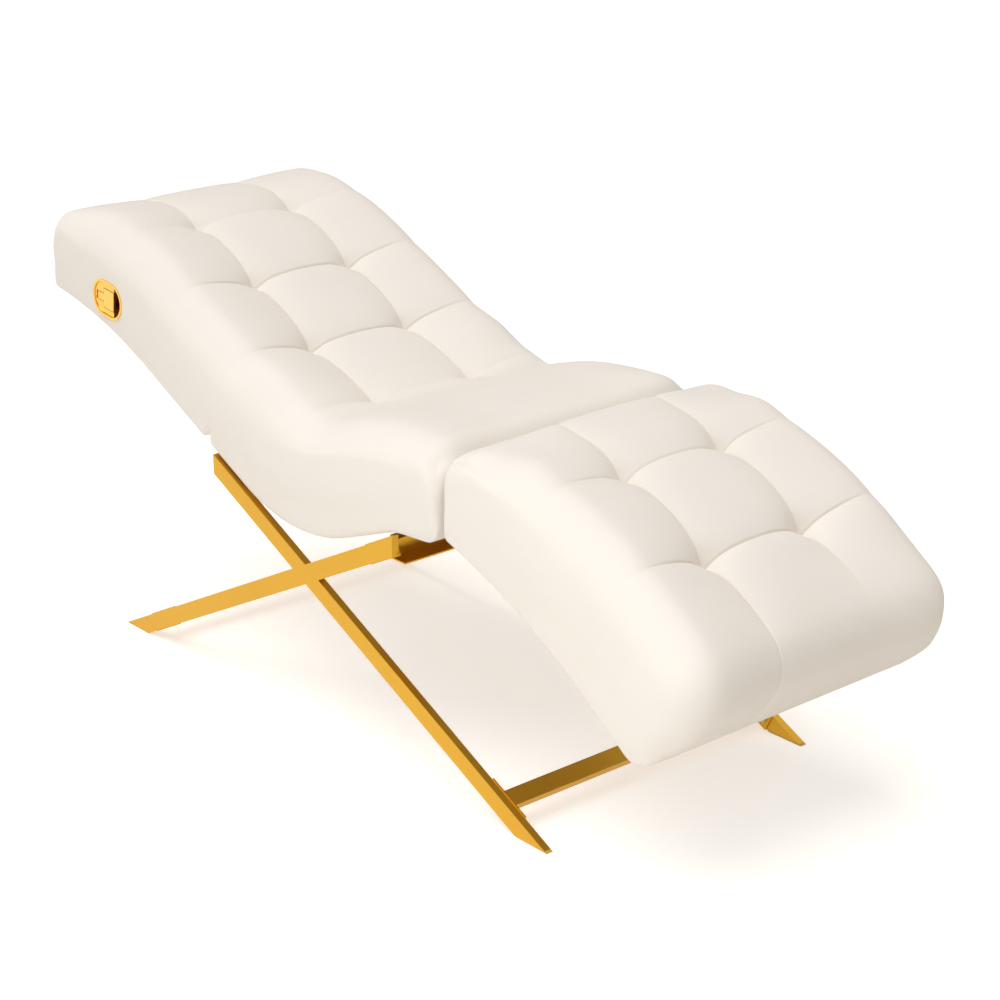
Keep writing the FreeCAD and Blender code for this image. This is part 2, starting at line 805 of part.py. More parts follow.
seat_bolt_shanks = [seat_bolt(*axis, BOLT_RADIUS) for axis in seat_bolt_axes]
seat_bolt_holes = [seat_bolt(*axis, BOLT_RADIUS + BOLT_HOLE_CLEARANCE) for axis in seat_bolt_axes]
seat_boards = boards(seat, carcase_start, seat_carcase_end)
seat_board_holes = hinge_bolt_holes(back_hinge, seat_anchor) + hinge_bolt_holes(leg_hinge, seat_front_anchor)
seat_rear_timber = timber(
    seat,
    seat_plate_s + BRACKET_PLATE,
    seat_plate_s + BRACKET_PLATE + RAIL_TIMBER,
    from_under(board_foot),
    from_top(board_top),
)
seat_front_timber = timber(
    seat,
    seat_carcase_end - RAIL_TIMBER,
    seat_carcase_end,
    from_under(board_foot + SEAT_UNDER_ROUND),
    from_top(board_top),
)
seat_rails = [seat_rear_timber.cut(seat_pockets), seat_front_timber.cut(seat_pockets)]
for mount_x in (rear_mount[0], front_mount_x):
    seat_rails.append(mount_timber(mount_x).cut(seat_bolt_shanks))
seat_panel = under_panel(seat, carcase_start, seat_carcase_end - SEAT_UNDER_ROUND)

add("seat_right_board", seat_boards[0].cut(seat_board_holes))
add("seat_left_board", seat_boards[1].cut(seat_board_holes))
add("seat_cross_rails", *seat_rails)
add("seat_webbing", *straps(seat, carcase_start + HINGE_ARM, seat_carcase_end - SEAT_FRONT_ROUND / 2))
add("seat_bottom_panel", seat_panel.cut(seat_bolt_holes))
add("seat_pad", seat_pad)
add("back_hinge_seat_plates", *fixed_plate(back_hinge, seat_anchor))
add("back_hinge_pins", *hinge_pin(back_hinge))
add("leg_hinge_seat_plates", *fixed_plate(leg_hinge, seat_front_anchor))
add("leg_hinge_pins", *hinge_pin(leg_hinge))
add(
    "seat_hinge_bolts",
    *hinge_bolts(back_hinge, seat_anchor, plate_inner),
    *hinge_bolts(leg_hinge, seat_front_anchor, plate_inner),
)
add("gas_spring_seat_bracket", bracket(seat, seat_plate_s, gas_seat, seat_rear_timber))
add("gas_spring_seat_pin", cross_pin(gas_seat, GAS_PIN_RADIUS, -gas_pin_half, gas_pin_half))

# Pull handle, drawn in its own u (along the bezel) and w (across it) directions
handle = (JOINT_X - HANDLE_ALONG, JOINT_Z + HANDLE_RISE)
handle_u = heading_vector(-HANDLE_TILT)
handle_w = (-handle_u[1], handle_u[0])
bezel_face = -PAD_HALF_WIDTH - BEZEL / 2
bezel_back = bezel_face + BEZEL
retainer_back = -board_inner + RETAINER
cup_half_length = BEZEL_LENGTH / 2 - BEZEL_RIM
cup_half_width = BEZEL_WIDTH / 2 - BEZEL_RIM


def handle_point(u, w):
    return shift(shift(handle, handle_u, u), handle_w, w)


def oval(half_length, half_width, y_low, y_high):
    reach = half_length - half_width
    return link(handle_point(-reach, 0), handle_point(reach, 0), half_width, y_low, y_high)


def grown_cup(extra, y_low, y_high):
    return oval(cup_half_length + extra, cup_half_width + extra, y_low, y_high)


def across_handle(u, depth, radius, half_length):
    """A cylinder across the handle at a depth behind its face."""
    x, z = handle_point(u, -half_length)
    return Part.makeCylinder(
        radius, half_length * 2, V(x, bezel_face + depth, z), V(handle_w[0], 0, handle_w[1])
    )


def paddle_plate(u_low, u_high, half_width, y_low, y_high):
    corners = [
        handle_point(u_low, -half_width),
        handle_point(u_high, -half_width),
        handle_point(u_high, half_width),
        handle_point(u_low, half_width),
    ]
    return outline(corners, y_low, y_high)


cable_exit = handle_point(CABLE_EXIT_U, 0)
pin_end_reach = PADDLE_PIVOT_U + cup_half_length - cup_half_width
pin_half = math.sqrt(cup_half_width**2 - pin_end_reach**2) + CUP_WALL / 2
paddle_pin = across_handle(PADDLE_PIVOT_U, PADDLE_PIVOT_DEPTH, PADDLE_PIN_RADIUS, pin_half)
housing = oval(BEZEL_LENGTH / 2, BEZEL_WIDTH / 2, bezel_face, bezel_back)
housing = housing.fuse(grown_cup(CUP_WALL, bezel_back, retainer_back)).removeSplitter()
housing = housing.cut(grown_cup(0, bezel_face, retainer_back - CUP_FLOOR))
cable_hole = cross_pin(cable_exit, CABLE_RADIUS, retainer_back - CUP_FLOOR, retainer_back)
housing = housing.cut([paddle_pin, cable_hole])
retainer_half_length = cup_half_length + CUP_WALL + RETAINER_EAR
retainer_half_width = cup_half_width + CUP_WALL + RETAINER_RIM
retainer = oval(retainer_half_length, retainer_half_width, -board_inner, retainer_back)
retainer = retainer.cut(grown_cup(CUP_WALL + PLUG_CLEARANCE, -board_inner, retainer_back))
screw_u = cup_half_length + CUP_WALL + RETAINER_EAR / 2
screw_points = [handle_point(-screw_u, 0), handle_point(screw_u, 0)]
screw_tip = -board_inner - SCREW_LENGTH
screw_shanks = [cross_pin(p, SCREW_RADIUS, screw_tip, retainer_back) for p in screw_points]
screw_top = retainer_back + SCREW_HEAD
screw_heads = [cross_pin(p, SCREW_RADIUS * 1.8, retainer_back, screw_top) for p in screw_points]
handle_openings = [
    grown_cup(CUP_WALL + BOARD_CLEARANCE, -FAR, -board_inner),
    grown_cup(BEZEL_RIM + BOARD_CLEARANCE, -FAR, bezel_back + BOARD_CLEARANCE),
]
paddle_face = bezel_face + BEZEL / 2
paddle = across_handle(PADDLE_PIVOT_U, PADDLE_PIVOT_DEPTH, PADDLE_BARREL, PADDLE_STEM_HALF)
paddle = paddle.fuse(
    [
        paddle_plate(PADDLE_PIVOT_U, PADDLE_NECK_U, PADDLE_STEM_HALF, paddle_face, paddle_face + PADDLE),
        paddle_plate(PADDLE_NECK_U, PADDLE_END_U, PADDLE_BODY_HALF, paddle_face, paddle_face + PADDLE),
    ]
)
paddle = paddle.removeSplitter().cut(
    across_handle(PADDLE_PIVOT_U, PADDLE_PIVOT_DEPTH, PADDLE_PIN_RADIUS + PIN_CLEARANCE, pin_half)
)

# Release lever on the rod's upper pivot and the sheathed cable from the handle to it
lever_up = tilt((-slit_down[0], -slit_down[1]), LEVER_LEAN)
lever_tip = shift(gas_back, lever_up, LEVER_LENGTH)
lever_outer = -cheek_outer - LEVER_GAP
lever_inner = lever_outer + LEVER
lever_middle = (lever_outer + lever_inner) / 2
lever = link(gas_back, lever_tip, LEVER_EYE, lever_outer, lever_inner)
lever = lever.cut(
    [
        cross_pin(gas_back, GAS_PIN_RADIUS + PIN_CLEARANCE, lever_outer, lever_inner),
        cross_pin(lever_tip, CABLE_RADIUS, lever_outer, lever_inner),
    ]
)


def bent_tube(points, radius):
    """A round tube along straight runs joined by tangent arcs as large as the runs allow."""
    edges = []
    start = points[0]
    for before, corner, after in zip(points, points[1:], points[2:]):
        inward = (corner - before).normalize()
        outward = (after - corner).normalize()
        half_turn = inward.getAngle(outward) / 2
        setback = 0.45 * min(corner.distanceToPoint(before), after.distanceToPoint(corner))
        bend = setback / math.tan(half_turn)
        print(f"cable bend radius {bend:.1f}")
        entry = corner - inward * setback
        leave = corner + outward * setback
        bisector = (outward - inward).normalize()
        middle = corner + bisector * (bend / math.cos(half_turn) - bend)
        edges.append(Part.LineSegment(start, entry).toShape())
        edges.append(Part.Arc(entry, middle, leave).toShape())
        start = leave
    edges.append(Part.LineSegment(start, points[-1]).toShape())
    route = Part.Wire(edges)
    profile = Part.Wire(Part.makeCircle(radius, points[0], points[1] - points[0]))
    return route.makePipeShell([profile], True, False)


cable_start = V(cable_exit[0], retainer_back - CUP_FLOOR, cable_exit[1])
cable_corner = V(cable_exit[0], lever_middle, cable_exit[1])
tip_point = V(lever_tip[0], lever_middle, lever_tip[1])
cable_end = tip_point + (cable_corner - tip_point).normalize() * (LEVER_EYE + CABLE_END_GAP)
cable = bent_tube([cable_start, cable_corner, cable_end], CABLE_RADIUS)
cable_clearance = bent_tube([cable_start, cable_corner, tip_point], CABLE_RADIUS + BOARD_CLEARANCE)

# Backrest carcase
back_boards = boards(back, carcase_start, back_carcase_end)
back_board_holes = hinge_bolt_holes(back_hinge, back_anchor)
gas_clear_height = BACK_THICKNESS - board_top - RAIL_TIMBER * 1.4
lower_timber_s = carcase_start + END_FOAM
lower_timber = timber(
    back, lower_timber_s, lower_timber_s + RAIL_TIMBER, from_under(gas_clear_height), from_top(board_top)
)
middle_timber = timber(
    back,
    back_plate_s + BRACKET_PLATE,
    back_plate_s + BRACKET_PLATE + RAIL_TIMBER,
    from_under(board_foot),
    from_top(board_top),
)
head_timber = timber(
    back, back_carcase_end - RAIL_TIMBER, back_carcase_end, from_under(board_foot), from_top(board_top)
)
gas_back_pin = cross_pin(gas_back, GAS_PIN_RADIUS, lever_outer - CHEEK / 2, gas_pin_half)

add("back_right_board", back_boards[0].cut(back_board_holes + handle_openings + screw_shanks))
add("back_left_board", back_boards[1].cut(back_board_holes))
add("back_cross_rails", lower_timber.cut(back_pockets), middle_timber.cut(cable_clearance), head_timber)
add("back_webbing", *straps(back, carcase_start + HINGE_ARM, back_carcase_end - HEAD_ROUND / 2))
add("back_panel", under_panel(back, carcase_start, back_carcase_end))
add("back_pad", back_pad.cut(handle_openings))
add("back_hinge_back_plates", *swing_plate(back_hinge, back_anchor))
add("back_hinge_bolts", *hinge_bolts(back_hinge, back_anchor, swing_inner))
add("gas_spring_back_bracket", bracket(back, back_plate_s, gas_back, middle_timber))
add("gas_spring_back_pin", gas_back_pin)
add("handle_housing", housing)
add("handle_retainer", retainer.cut(screw_shanks))
add("handle_screws", *[shank.fuse(head) for shank, head in zip(screw_shanks, screw_heads)])
add("handle_pin", paddle_pin)
add("pull_paddle", paddle)
add("release_cable", cable)
add("release_lever", lever)


# Gas spring, drawn along its axis at rest
def along_gas(distance):
    x, z = shift(gas_seat, gas_along, distance)
    return V(x, 0, z)


def gas_cylinder(start, end, radius):
    return Part.makeCylinder(radius, end - start, along_gas(start), V(gas_along[0], 0, gas_along[1]))


gas_rest_length = math.dist(gas_seat, gas_back)
gas_eye_half = GAS_EYE_WIDTH / 2
body_start = GAS_EYE_RADIUS + CHEEK
body_end = body_start + GAS_BODY_LENGTH
chamber_radius = GAS_BODY_RADIUS - GAS_BODY_WALL
chamber_start = body_start + GAS_END_WALL
chamber_end = body_end - GAS_END_WALL
piston_start = chamber_start + GAS_PISTON
rod_eye_radius = GAS_PIN_RADIUS + GAS_PIVOT_FREEDOM + CHEEK
gas_tube = gas_cylinder(body_start, body_end, GAS_BODY_RADIUS)
gas_tube = gas_tube.fuse(
    [
        cross_pin(gas_seat, GAS_EYE_RADIUS, -gas_eye_half, gas_eye_half),
        gas_cylinder(0, body_start, gas_eye_half),
    ]
)
gas_tube = gas_tube.cut(
    [
        gas_cylinder(chamber_start, chamber_end, chamber_radius),
        gas_cylinder(chamber_end, body_end, GAS_ROD_RADIUS + PIN_CLEARANCE),
        cross_pin(gas_seat, GAS_PIN_RADIUS + PIN_CLEARANCE, -gas_eye_half, gas_eye_half),
    ]
)
rod_end = gas_rest_length - rod_eye_radius + CHEEK / 2
gas_rod = gas_cylinder(piston_start, rod_end, GAS_ROD_RADIUS)
gas_rod = gas_rod.fuse(gas_cylinder(piston_start, piston_start + GAS_PISTON, chamber_radius - PIN_CLEARANCE))
rod_eye = cross_pin(gas_back, rod_eye_radius, -gas_eye_half, gas_eye_half)
loose_hole = cross_pin(gas_back, GAS_PIN_RADIUS + GAS_PIVOT_FREEDOM, -gas_eye_half, gas_eye_half)
rod_eye = rod_eye.cut([gas_rod, loose_hole])

add("gas_spring_cylinder", gas_tube)
add("gas_spring_rod", gas_rod)
add("gas_spring_rod_eye", rod_eye)

# Leg rest carcase
leg_boards = boards(leg_rest, leg_carcase_start, leg_carcase_end)
leg_board_holes = hinge_bolt_holes(leg_hinge, leg_anchor)
leg_rear_timber = timber(
    leg_rest,
    leg_carcase_start,
    leg_carcase_start + RAIL_TIMBER,
    from_under(board_foot),
    from_top(LEG_REAR_ROUND + TOP_FOAM),
)
leg_front_timber = timber(
    leg_rest,
    leg_carcase_end - RAIL_TIMBER,
    leg_carcase_end,
    from_under(board_foot + LEG_NOSE_ROUND / 2),
    from_top(board_top),
)

add("leg_right_board", leg_boards[0].cut(leg_board_holes))
add("leg_left_board", leg_boards[1].cut(leg_board_holes))
add("leg_cross_rails", leg_rear_timber.cut(leg_pockets), leg_front_timber)
add("leg_webbing", *straps(leg_rest, leg_carcase_start + LEG_REAR_ROUND / 2, leg_carcase_end))
add("leg_bottom_panel", under_panel(leg_rest, leg_carcase_start, leg_carcase_end - LEG_NOSE_ROUND / 2))
add("leg_pad", leg_pad)
add("leg_hinge_leg_plates", *swing_plate(leg_hinge, leg_anchor))
add("leg_hinge_bolts", *hinge_bolts(leg_hinge, leg_anchor, swing_inner))

# Crossed base: each leg hangs below the straight line from its foot to its top corner
leg_inner = FRAME_HALF_WIDTH - TUBE_DEPTH
head_leg_top = (HEAD_LEG_TOP_X, head_leg_top_z)
foot_leg_top = (FOOT_LEG_TOP_X, foot_leg_top_z)


def leg_bar(top, direction, up, inset, y_low, y_high):
    """An endless bar below a leg's top line, drawn in from its outside by the inset."""
    high = shift(top, up, -inset)
    low = shift(top, up, inset - TUBE_WIDTH)
    ends = [shift(high, direction, FAR), shift(high, direction, -FAR)]
    return outline(ends + [shift(low, direction, -FAR), shift(low, direction, FAR)], y_low, y_high)


def leg_span(top_x, sign, z_low, z_high, start=0.0, end=FAR):
    """The space on one side of a leg's top end, between two heights."""
    x_low, x_high = sorted((top_x - sign * start, top_x - sign * end))
    return box(x_low, x_high, 0, FRAME_HALF_WIDTH, z_low, z_high)


head_leg = (head_leg_top, head_leg_line, head_leg_up)
foot_leg = (foot_leg_top, foot_leg_line, foot_leg_up)
head_body = leg_bar(*head_leg, 0, leg_inner, FRAME_HALF_WIDTH)
foot_body = leg_bar(*foot_leg, 0, leg_inner, FRAME_HALF_WIDTH)
head_bore = leg_bar(*head_leg, TUBE_WALL, leg_inner + TUBE_WALL, FRAME_HALF_WIDTH - TUBE_WALL)
foot_bore = leg_bar(*foot_leg, TUBE_WALL, leg_inner + TUBE_WALL, FRAME_HALF_WIDTH - TUBE_WALL)
plug_inset = TUBE_WALL + PLUG_CLEARANCE
head_plug = leg_bar(*head_leg, plug_inset, leg_inner + plug_inset, FRAME_HALF_WIDTH - plug_inset)
foot_plug = leg_bar(*foot_leg, plug_inset, leg_inner + plug_inset, FRAME_HALF_WIDTH - plug_inset)
head_tube = head_body.cut(head_bore).common(leg_span(HEAD_LEG_TOP_X, 1, GLIDE, FAR))
foot_tube = foot_body.cut([foot_bore, head_body]).common(leg_span(FOOT_LEG_TOP_X, -1, GLIDE, FAR))
foot_upper, foot_lower = sorted(foot_tube.Solids, key=lambda solid: -solid.CenterOfMass.z)


def glide(body, plug, top_x, sign):
    sole = body.common(leg_span(top_x, sign, 0, GLIDE))
    return sole.fuse(plug.common(leg_span(top_x, sign, GLIDE, GLIDE + GLIDE_PLUG))).removeSplitter()


glides = [glide(head_body, head_plug, HEAD_LEG_TOP_X, 1), glide(foot_body, foot_plug, FOOT_LEG_TOP_X, -1)]
end_caps = [
    head_body.common(leg_span(HEAD_LEG_TOP_X, 1, 0, FAR, 0, -END_CAP)),
    foot_body.common(leg_span(FOOT_LEG_TOP_X, -1, 0, FAR, 0, -END_CAP)),
]

# Rails across the base, each on a pair of bolted end flanges
rail_half = leg_inner - FLANGE
bolt_half_pitch = FLANGE_BOLT_PITCH / 2


def leg_rectangle(centre, direction, up, half_length, top, bottom, y_low, y_high):
    """A block in line with a leg, from top to bottom below the leg's top line."""
    front = shift(centre, direction, half_length)
    rear = shift(centre, direction, -half_length)
    upper = [shift(front, up, -top), shift(rear, up, -top)]
    lower = [shift(rear, up, -bottom), shift(front, up, -bottom)]
    return outline(upper + lower, y_low, y_high)


def tube_rail(centre, direction, up):
    body = leg_rectangle(centre, direction, up, TUBE_WIDTH / 2, 0, TUBE_DEPTH, -rail_half, rail_half)
    half_bore = TUBE_WIDTH / 2 - TUBE_WALL
    bore_floor = TUBE_DEPTH - TUBE_WALL
    bore = leg_rectangle(centre, direction, up, half_bore, TUBE_WALL, bore_floor, -rail_half, rail_half)
    return body.cut(bore)


def flange_bolt_points(centre, direction, up):
    middle = shift(centre, up, -TUBE_WIDTH / 2)
    return [shift(middle, direction, bolt_half_pitch), shift(middle, direction, -bolt_half_pitch)]


def flange_plate(centre, direction, up):
    spare = (FLANGE_HEIGHT - TUBE_WIDTH) / 2
    bottom = TUBE_WIDTH + spare
    plate = leg_rectangle(centre, direction, up, FLANGE_LENGTH / 2, -spare, bottom, rail_half, leg_inner)
    points = flange_bolt_points(centre, direction, up)
    return plate.cut([cross_pin(p, BOLT_RADIUS + BOLT_HOLE_CLEARANCE, rail_half, leg_inner) for p in points])


def hexagon(p, radius, y_low, y_high):
    return outline([shift(p, heading_vector(60 * k), radius) for k in range(6)], y_low, y_high)


front_lower = (shift((FOOT_FOOT_X, 0.0), foot_leg_line, LOWER_RAIL_FROM_FOOT), foot_leg_line, foot_leg_up)
rear_lower = (shift((HEAD_FOOT_X, 0.0), head_leg_line, LOWER_RAIL_FROM_FOOT), head_leg_line, head_leg_up)
rear_upper = (rear_mount, foot_leg_line, foot_leg_up)
front_upper = (shift(head_leg_top, head_leg_line, -CHANNEL_FLANGE_FROM_TOP), head_leg_line, head_leg_up)
rail_seats = (front_lower, rear_lower, rear_upper, front_upper)

bolt_points = [p for seat_place in rail_seats for p in flange_bolt_points(*seat_place)]
inner_wall = leg_inner + TUBE_WALL
nut_face = inner_wall + NUT
flange_bolts = []
weld_nuts = []
leg_holes = []
for p in bolt_points:
    shank = cross_pin(p, BOLT_RADIUS, rail_half, nut_face)
    flange_bolts.append(shank.fuse(hexagon(p, BOLT_HEAD_RADIUS, rail_half - BOLT_HEAD, rail_half)))
    weld_nuts.append(hexagon(p, BOLT_HEAD_RADIUS, inner_wall, nut_face).cut(shank))
    leg_holes.append(cross_pin(p, BOLT_RADIUS + BOLT_HOLE_CLEARANCE, leg_inner, inner_wall))

leg_tubes = {"head_leg": head_tube, "foot_leg_lower": foot_lower, "foot_leg_upper": foot_upper}
for side, sign in SIDES:
    for name, tube in leg_tubes.items():
        drilled = tube.cut(leg_holes)
        add(f"{side}_{name}", drilled if sign > 0 else mirrored(drilled))
add("leg_end_caps", *both_sides(end_caps))
add("foot_glides", *both_sides(glides))

# Channel under the seat front: its lower lip runs out below the leg ends
channel_x = HEAD_LEG_TOP_X - CHANNEL_WIDTH
channel_bottom = channel_top - CHANNEL_HEIGHT
channel = box(channel_x, channel_x + CHANNEL_WALL, -rail_half, rail_half, channel_bottom, channel_top)
channel = channel.fuse(
    [
        box(channel_x, HEAD_LEG_TOP_X, -rail_half, rail_half, channel_top - CHANNEL_WALL, channel_top),
        box(
            channel_x,
            HEAD_LEG_TOP_X + CHANNEL_LIP,
            -rail_half,
            rail_half,
            channel_bottom,
            channel_bottom + CHANNEL_WALL,
        ),
    ]
).removeSplitter()

# Spacers fill the wedge between a rail and the seat's bottom panel
under_seat = seat.slab(
    0, seat.length, -PAD_HALF_WIDTH, PAD_HALF_WIDTH, from_under(-TUBE_WIDTH), from_under(PANEL_INSET)
)
spacers = []
for base, up, _, bolt_y in seat_bolt_axes:
    across = (up[1], -up[0])
    half = SPACER_WIDTH / 2 if up == foot_leg_up else CHANNEL_WIDTH / 2 - CHANNEL_WALL
    y_low = bolt_y - SPACER_WIDTH / 2
    block = leg_rectangle(base, across, up, half, -TUBE_WIDTH, 0, y_low, y_low + SPACER_WIDTH)
    spacers.append(block.common(under_seat).cut(seat_bolt_holes))

add("front_upper_rail", channel.cut(seat_bolt_holes))
add("rear_upper_rail", tube_rail(*rear_upper).cut(seat_bolt_holes))
add("front_lower_rail", tube_rail(*front_lower))
add("rear_lower_rail", tube_rail(*rear_lower))
add("rail_flanges", *both_sides([flange_plate(*seat_place) for seat_place in rail_seats]))
add("flange_bolts", *both_sides(flange_bolts))
add("weld_nuts", *both_sides(weld_nuts))
add("seat_spacers", *spacers)
seat_bolts = [shank.fuse(seat_bolt_head(*axis)) for shank, axis in zip(seat_bolt_shanks, seat_bolt_axes)]
add("seat_bolts", *seat_bolts)

os.makedirs("parts", exist_ok=True)
for node, shape in nodes.items():
    shape.exportStep(f"parts/{node}.step")
print(len(nodes), "nodes")
for label, p in (
    ("back hinge", back_hinge),
    ("leg hinge", leg_hinge),
    ("gas spring at seat", gas_seat),
    ("gas spring at back", gas_back),
    ("paddle pivot", handle_point(PADDLE_PIVOT_U, 0)),
):
    print(f"{label}: x {p[0]:.2f}, z {p[1]:.2f}")
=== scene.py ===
import json
import math
from dataclasses import dataclass

import bpy
import numpy as np
from bpy.props import FloatProperty, FloatVectorProperty, IntProperty, PointerProperty
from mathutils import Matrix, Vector


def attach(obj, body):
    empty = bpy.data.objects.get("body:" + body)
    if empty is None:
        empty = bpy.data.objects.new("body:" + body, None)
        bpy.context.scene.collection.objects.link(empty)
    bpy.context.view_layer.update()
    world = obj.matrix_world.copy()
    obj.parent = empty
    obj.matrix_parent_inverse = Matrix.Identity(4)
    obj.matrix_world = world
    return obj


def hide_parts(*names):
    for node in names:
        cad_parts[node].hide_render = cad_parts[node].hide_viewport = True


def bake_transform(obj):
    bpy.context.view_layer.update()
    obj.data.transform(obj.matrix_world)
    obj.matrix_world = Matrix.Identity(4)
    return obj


bl_info = {
    "name": "Lash chair",
    "version": (1, 0, 0),
    "blender": (4, 5, 0),
    "location": "3D View > Sidebar > Lash chair",
    "description": "Dresses the frame of a curved lash chair with tufted covers, finishes and a studio stage",
    "category": "Object",
}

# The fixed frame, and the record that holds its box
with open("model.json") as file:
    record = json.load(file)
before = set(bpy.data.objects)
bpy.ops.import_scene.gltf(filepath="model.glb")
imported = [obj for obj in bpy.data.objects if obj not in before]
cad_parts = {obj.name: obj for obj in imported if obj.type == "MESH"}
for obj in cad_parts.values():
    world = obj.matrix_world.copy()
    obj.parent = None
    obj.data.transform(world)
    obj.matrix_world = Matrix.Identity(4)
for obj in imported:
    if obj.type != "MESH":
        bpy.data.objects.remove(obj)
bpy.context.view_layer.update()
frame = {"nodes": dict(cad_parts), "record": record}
MM = 0.001

# Side view of the cushions, in millimetres and degrees: where the backrest meets the seat,
# and for each line its start, heading, straight runs (length, 0) and arcs (length, turn)
JOINT = (-328.0, 655.0)
JOINT_SLOPE = 25.5
HEAD_X = -940.7
SEAT_FRONT_X = 306.0
LINE_STEPS = 48
SHARES = np.linspace(0, 1, 97)


def bow(radius, turn):
    return radius * math.radians(abs(turn)), turn


def below_joint(depth):
    slope = math.radians(JOINT_SLOPE)
    return JOINT[0] - depth * math.sin(slope), JOINT[1] - depth * math.cos(slope)


BACK_TOP = (JOINT, 180 - JOINT_SLOPE, [(265.0, 0), bow(750, 25.5)], HEAD_X)
BACK_UNDER = (below_joint(180.0), 180 - JOINT_SLOPE, [(228.0, 0), bow(1096, 17.5)], HEAD_X)
SEAT_TOP = (JOINT, -JOINT_SLOPE, [bow(700, 13.5), bow(280, 29), bow(1007, -17)], SEAT_FRONT_X)
SEAT_UNDER = (
    below_joint(180.0),
    -JOINT_SLOPE,
    [(142.0, 0), bow(404, 46.5), (130.0, 0), bow(150, -17)],
    SEAT_FRONT_X,
)
LEG_TOP = ((323.0, 711.0), -9.6, [bow(1300, -30.9)], None)
LEG_UNDER = ((327.0, 501.0), -16.5, [bow(1310, -25.4)], None)

# Where the pull handle sits in the backrest's right side
HANDLE_X = -0.732
HANDLE_Z = 0.706
HANDLE_TILT = math.radians(6)
HANDLE_HOLE_LENGTH = 0.1026
HANDLE_HOLE_WIDTH = 0.0746
HANDLE_HOLE_DEPTH = 0.034
HANDLE_HOLE_CLEAR = 0.02

# The plate set flush around the paddle: its outline, its front and back, and its openings
# for the stem, the body and the finger recess as start, end and half width
PLATE_LENGTH = 0.0948
PLATE_WIDTH = 0.0668
PLATE_LAYER = (-0.3278, -0.3262)
PLATE_EASE = 0.0003
PLATE_OPENINGS = ((-0.0406, -0.0130, 0.0092), (-0.0152, 0.0300, 0.0212), (0.0232, 0.0600, 0.0400))


def number_property(name, description, default):
    return FloatProperty(name=name, description=description, default=default)


def angle_property(name, description, degrees):
    return FloatProperty(name=name, description=description, default=math.radians(degrees), subtype="ANGLE")


def length_property(name, description, default):
    return FloatProperty(name=name, description=description, default=default, unit="LENGTH")


def colour_property(name, description, default):
    return FloatVectorProperty(name=name, description=description, default=(*default, 1), subtype="COLOR", size=4)


class CoverSizes(bpy.types.PropertyGroup):
    """Sizes of the tufted covers."""

    half_width: length_property("Half width", "From the middle of a cushion to its side", 0.328)
    side_draw: length_property("Side draw", "How far the sides pull in at their edges", 0.004)
    crown: length_property("Crown", "How high a panel stands between its sewn lines", 0.005)
    seat_crown: length_property("Seat crown", "How high the plain front of the seat stands", 0.004)
    valley: length_property("Valley", "How deep a sewn line draws the panels down", 0.0018)
    valley_reach: length_property("Valley reach", "How far from a sewn line the panels start to fall", 0.012)
    tuft_reach: length_property("Tuft reach", "How far the pull of a tuft spreads", 0.040)
    pocket: length_property("Pocket", "Depth of the small hollow at a tuft", 0.007)
    pocket_reach: length_property("Pocket reach", "Radius of the small hollow at a tuft", 0.019)
    seam_depth: length_property("Seam depth", "Depth of the tight fold along a sewn line", 0.0024)
    seam_width: length_property("Seam width", "Half width of the tight fold", 0.0019)
    notch: length_property("Notch", "Depth of the fold under the recline hinge", 0.010)
    column: length_property("Column", "From the middle to a lengthways row of tufts", 0.118)
    swell: length_property("Swell", "The most that the filling may lift the cover", 0.007)
    pressure: number_property("Pressure", "Push of the filling on the cover", 4.0)
    cells: IntProperty(name="Cells", description="Cells along each block of a cover", default=12, min=3)


class FinishColours(bpy.types.PropertyGroup):
    """Colours of the chair's finishes."""

    velvet: colour_property("Velvet", "Ivory velvet of the cushions", (0.928, 0.880, 0.819))
    # Painted shade: a darker velvet colour laid into the sewn folds, where shade falls in the creases
    velvet_fold_shade: colour_property("Velvet fold", "The velvet down in its folds", (0.80, 0.715, 0.60))
    gold: colour_property("Satin gold", "Coated tube of the base", (0.640, 0.352, 0.033))
    polished: colour_property("Polished gold", "Plated pull handle", (0.86, 0.53, 0.12))
    moulded: colour_property("Moulded gold", "Glides under the feet", (0.70, 0.42, 0.08))
    plywood: colour_property("Plywood", "Boards inside the cushions", (0.62, 0.45, 0.28))
    webbing: colour_property("Webbing", "Elastic straps under the foam", (0.10, 0.09, 0.08))
    lining: colour_property("Lining", "Cloth on the undersides", (0.78, 0.72, 0.63))
    steel: colour_property("Steel", "Zinc plated hinges, bolts and brackets", (0.60, 0.60, 0.61))
    black: colour_property("Black", "Painted spring tube, moulded spacers and cable", (0.035, 0.035, 0.038))


class StageSettings(bpy.types.PropertyGroup):
    """The studio around the chair."""

    camera_place: FloatVectorProperty(
        name="Camera", description="Where the camera stands", subtype="TRANSLATION", size=3,
        default=(3.504, -2.925, 2.137),
    )
    camera_azimuth: angle_property("Azimuth", "Turn of the view from the right side", 49.31)
    camera_elevation: angle_property("Elevation", "Tilt of the view below level", 20.81)
    lens: number_property("Lens", "Focal length in millimetres", 90.8)
    sky_near: number_property("Near sky", "Even light from the near side", 0.51)
    sky_far: number_property("Far sky", "Even light from the far side", 0.33)
    sun: number_property("Sun", "Strength of the wide soft lamp overhead", 1.67)
    sun_spread: angle_property("Sun spread", "How wide the overhead lamp is", 55)
    near_lamp: number_property("Near lamp", "Power of the lamp beside the leg rest", 9.6)
    floor: colour_property("Floor", "Colour of the floor", (0.86, 0.835, 0.79))
    floor_lift: number_property("Floor lift", "White added to the floor where the camera sees it", 0.50)


def sizes():
    return bpy.context.scene.lash_chair_covers


def colours():
    return bpy.context.scene.lash_chair_finishes


# Mesh helpers
def select_only(obj):
    if bpy.context.mode != "OBJECT":
        bpy.ops.object.mode_set(mode="OBJECT")
    bpy.ops.object.select_all(action="DESELECT")
    obj.hide_set(False)
    obj.select_set(True)
    bpy.context.view_layer.objects.active = obj


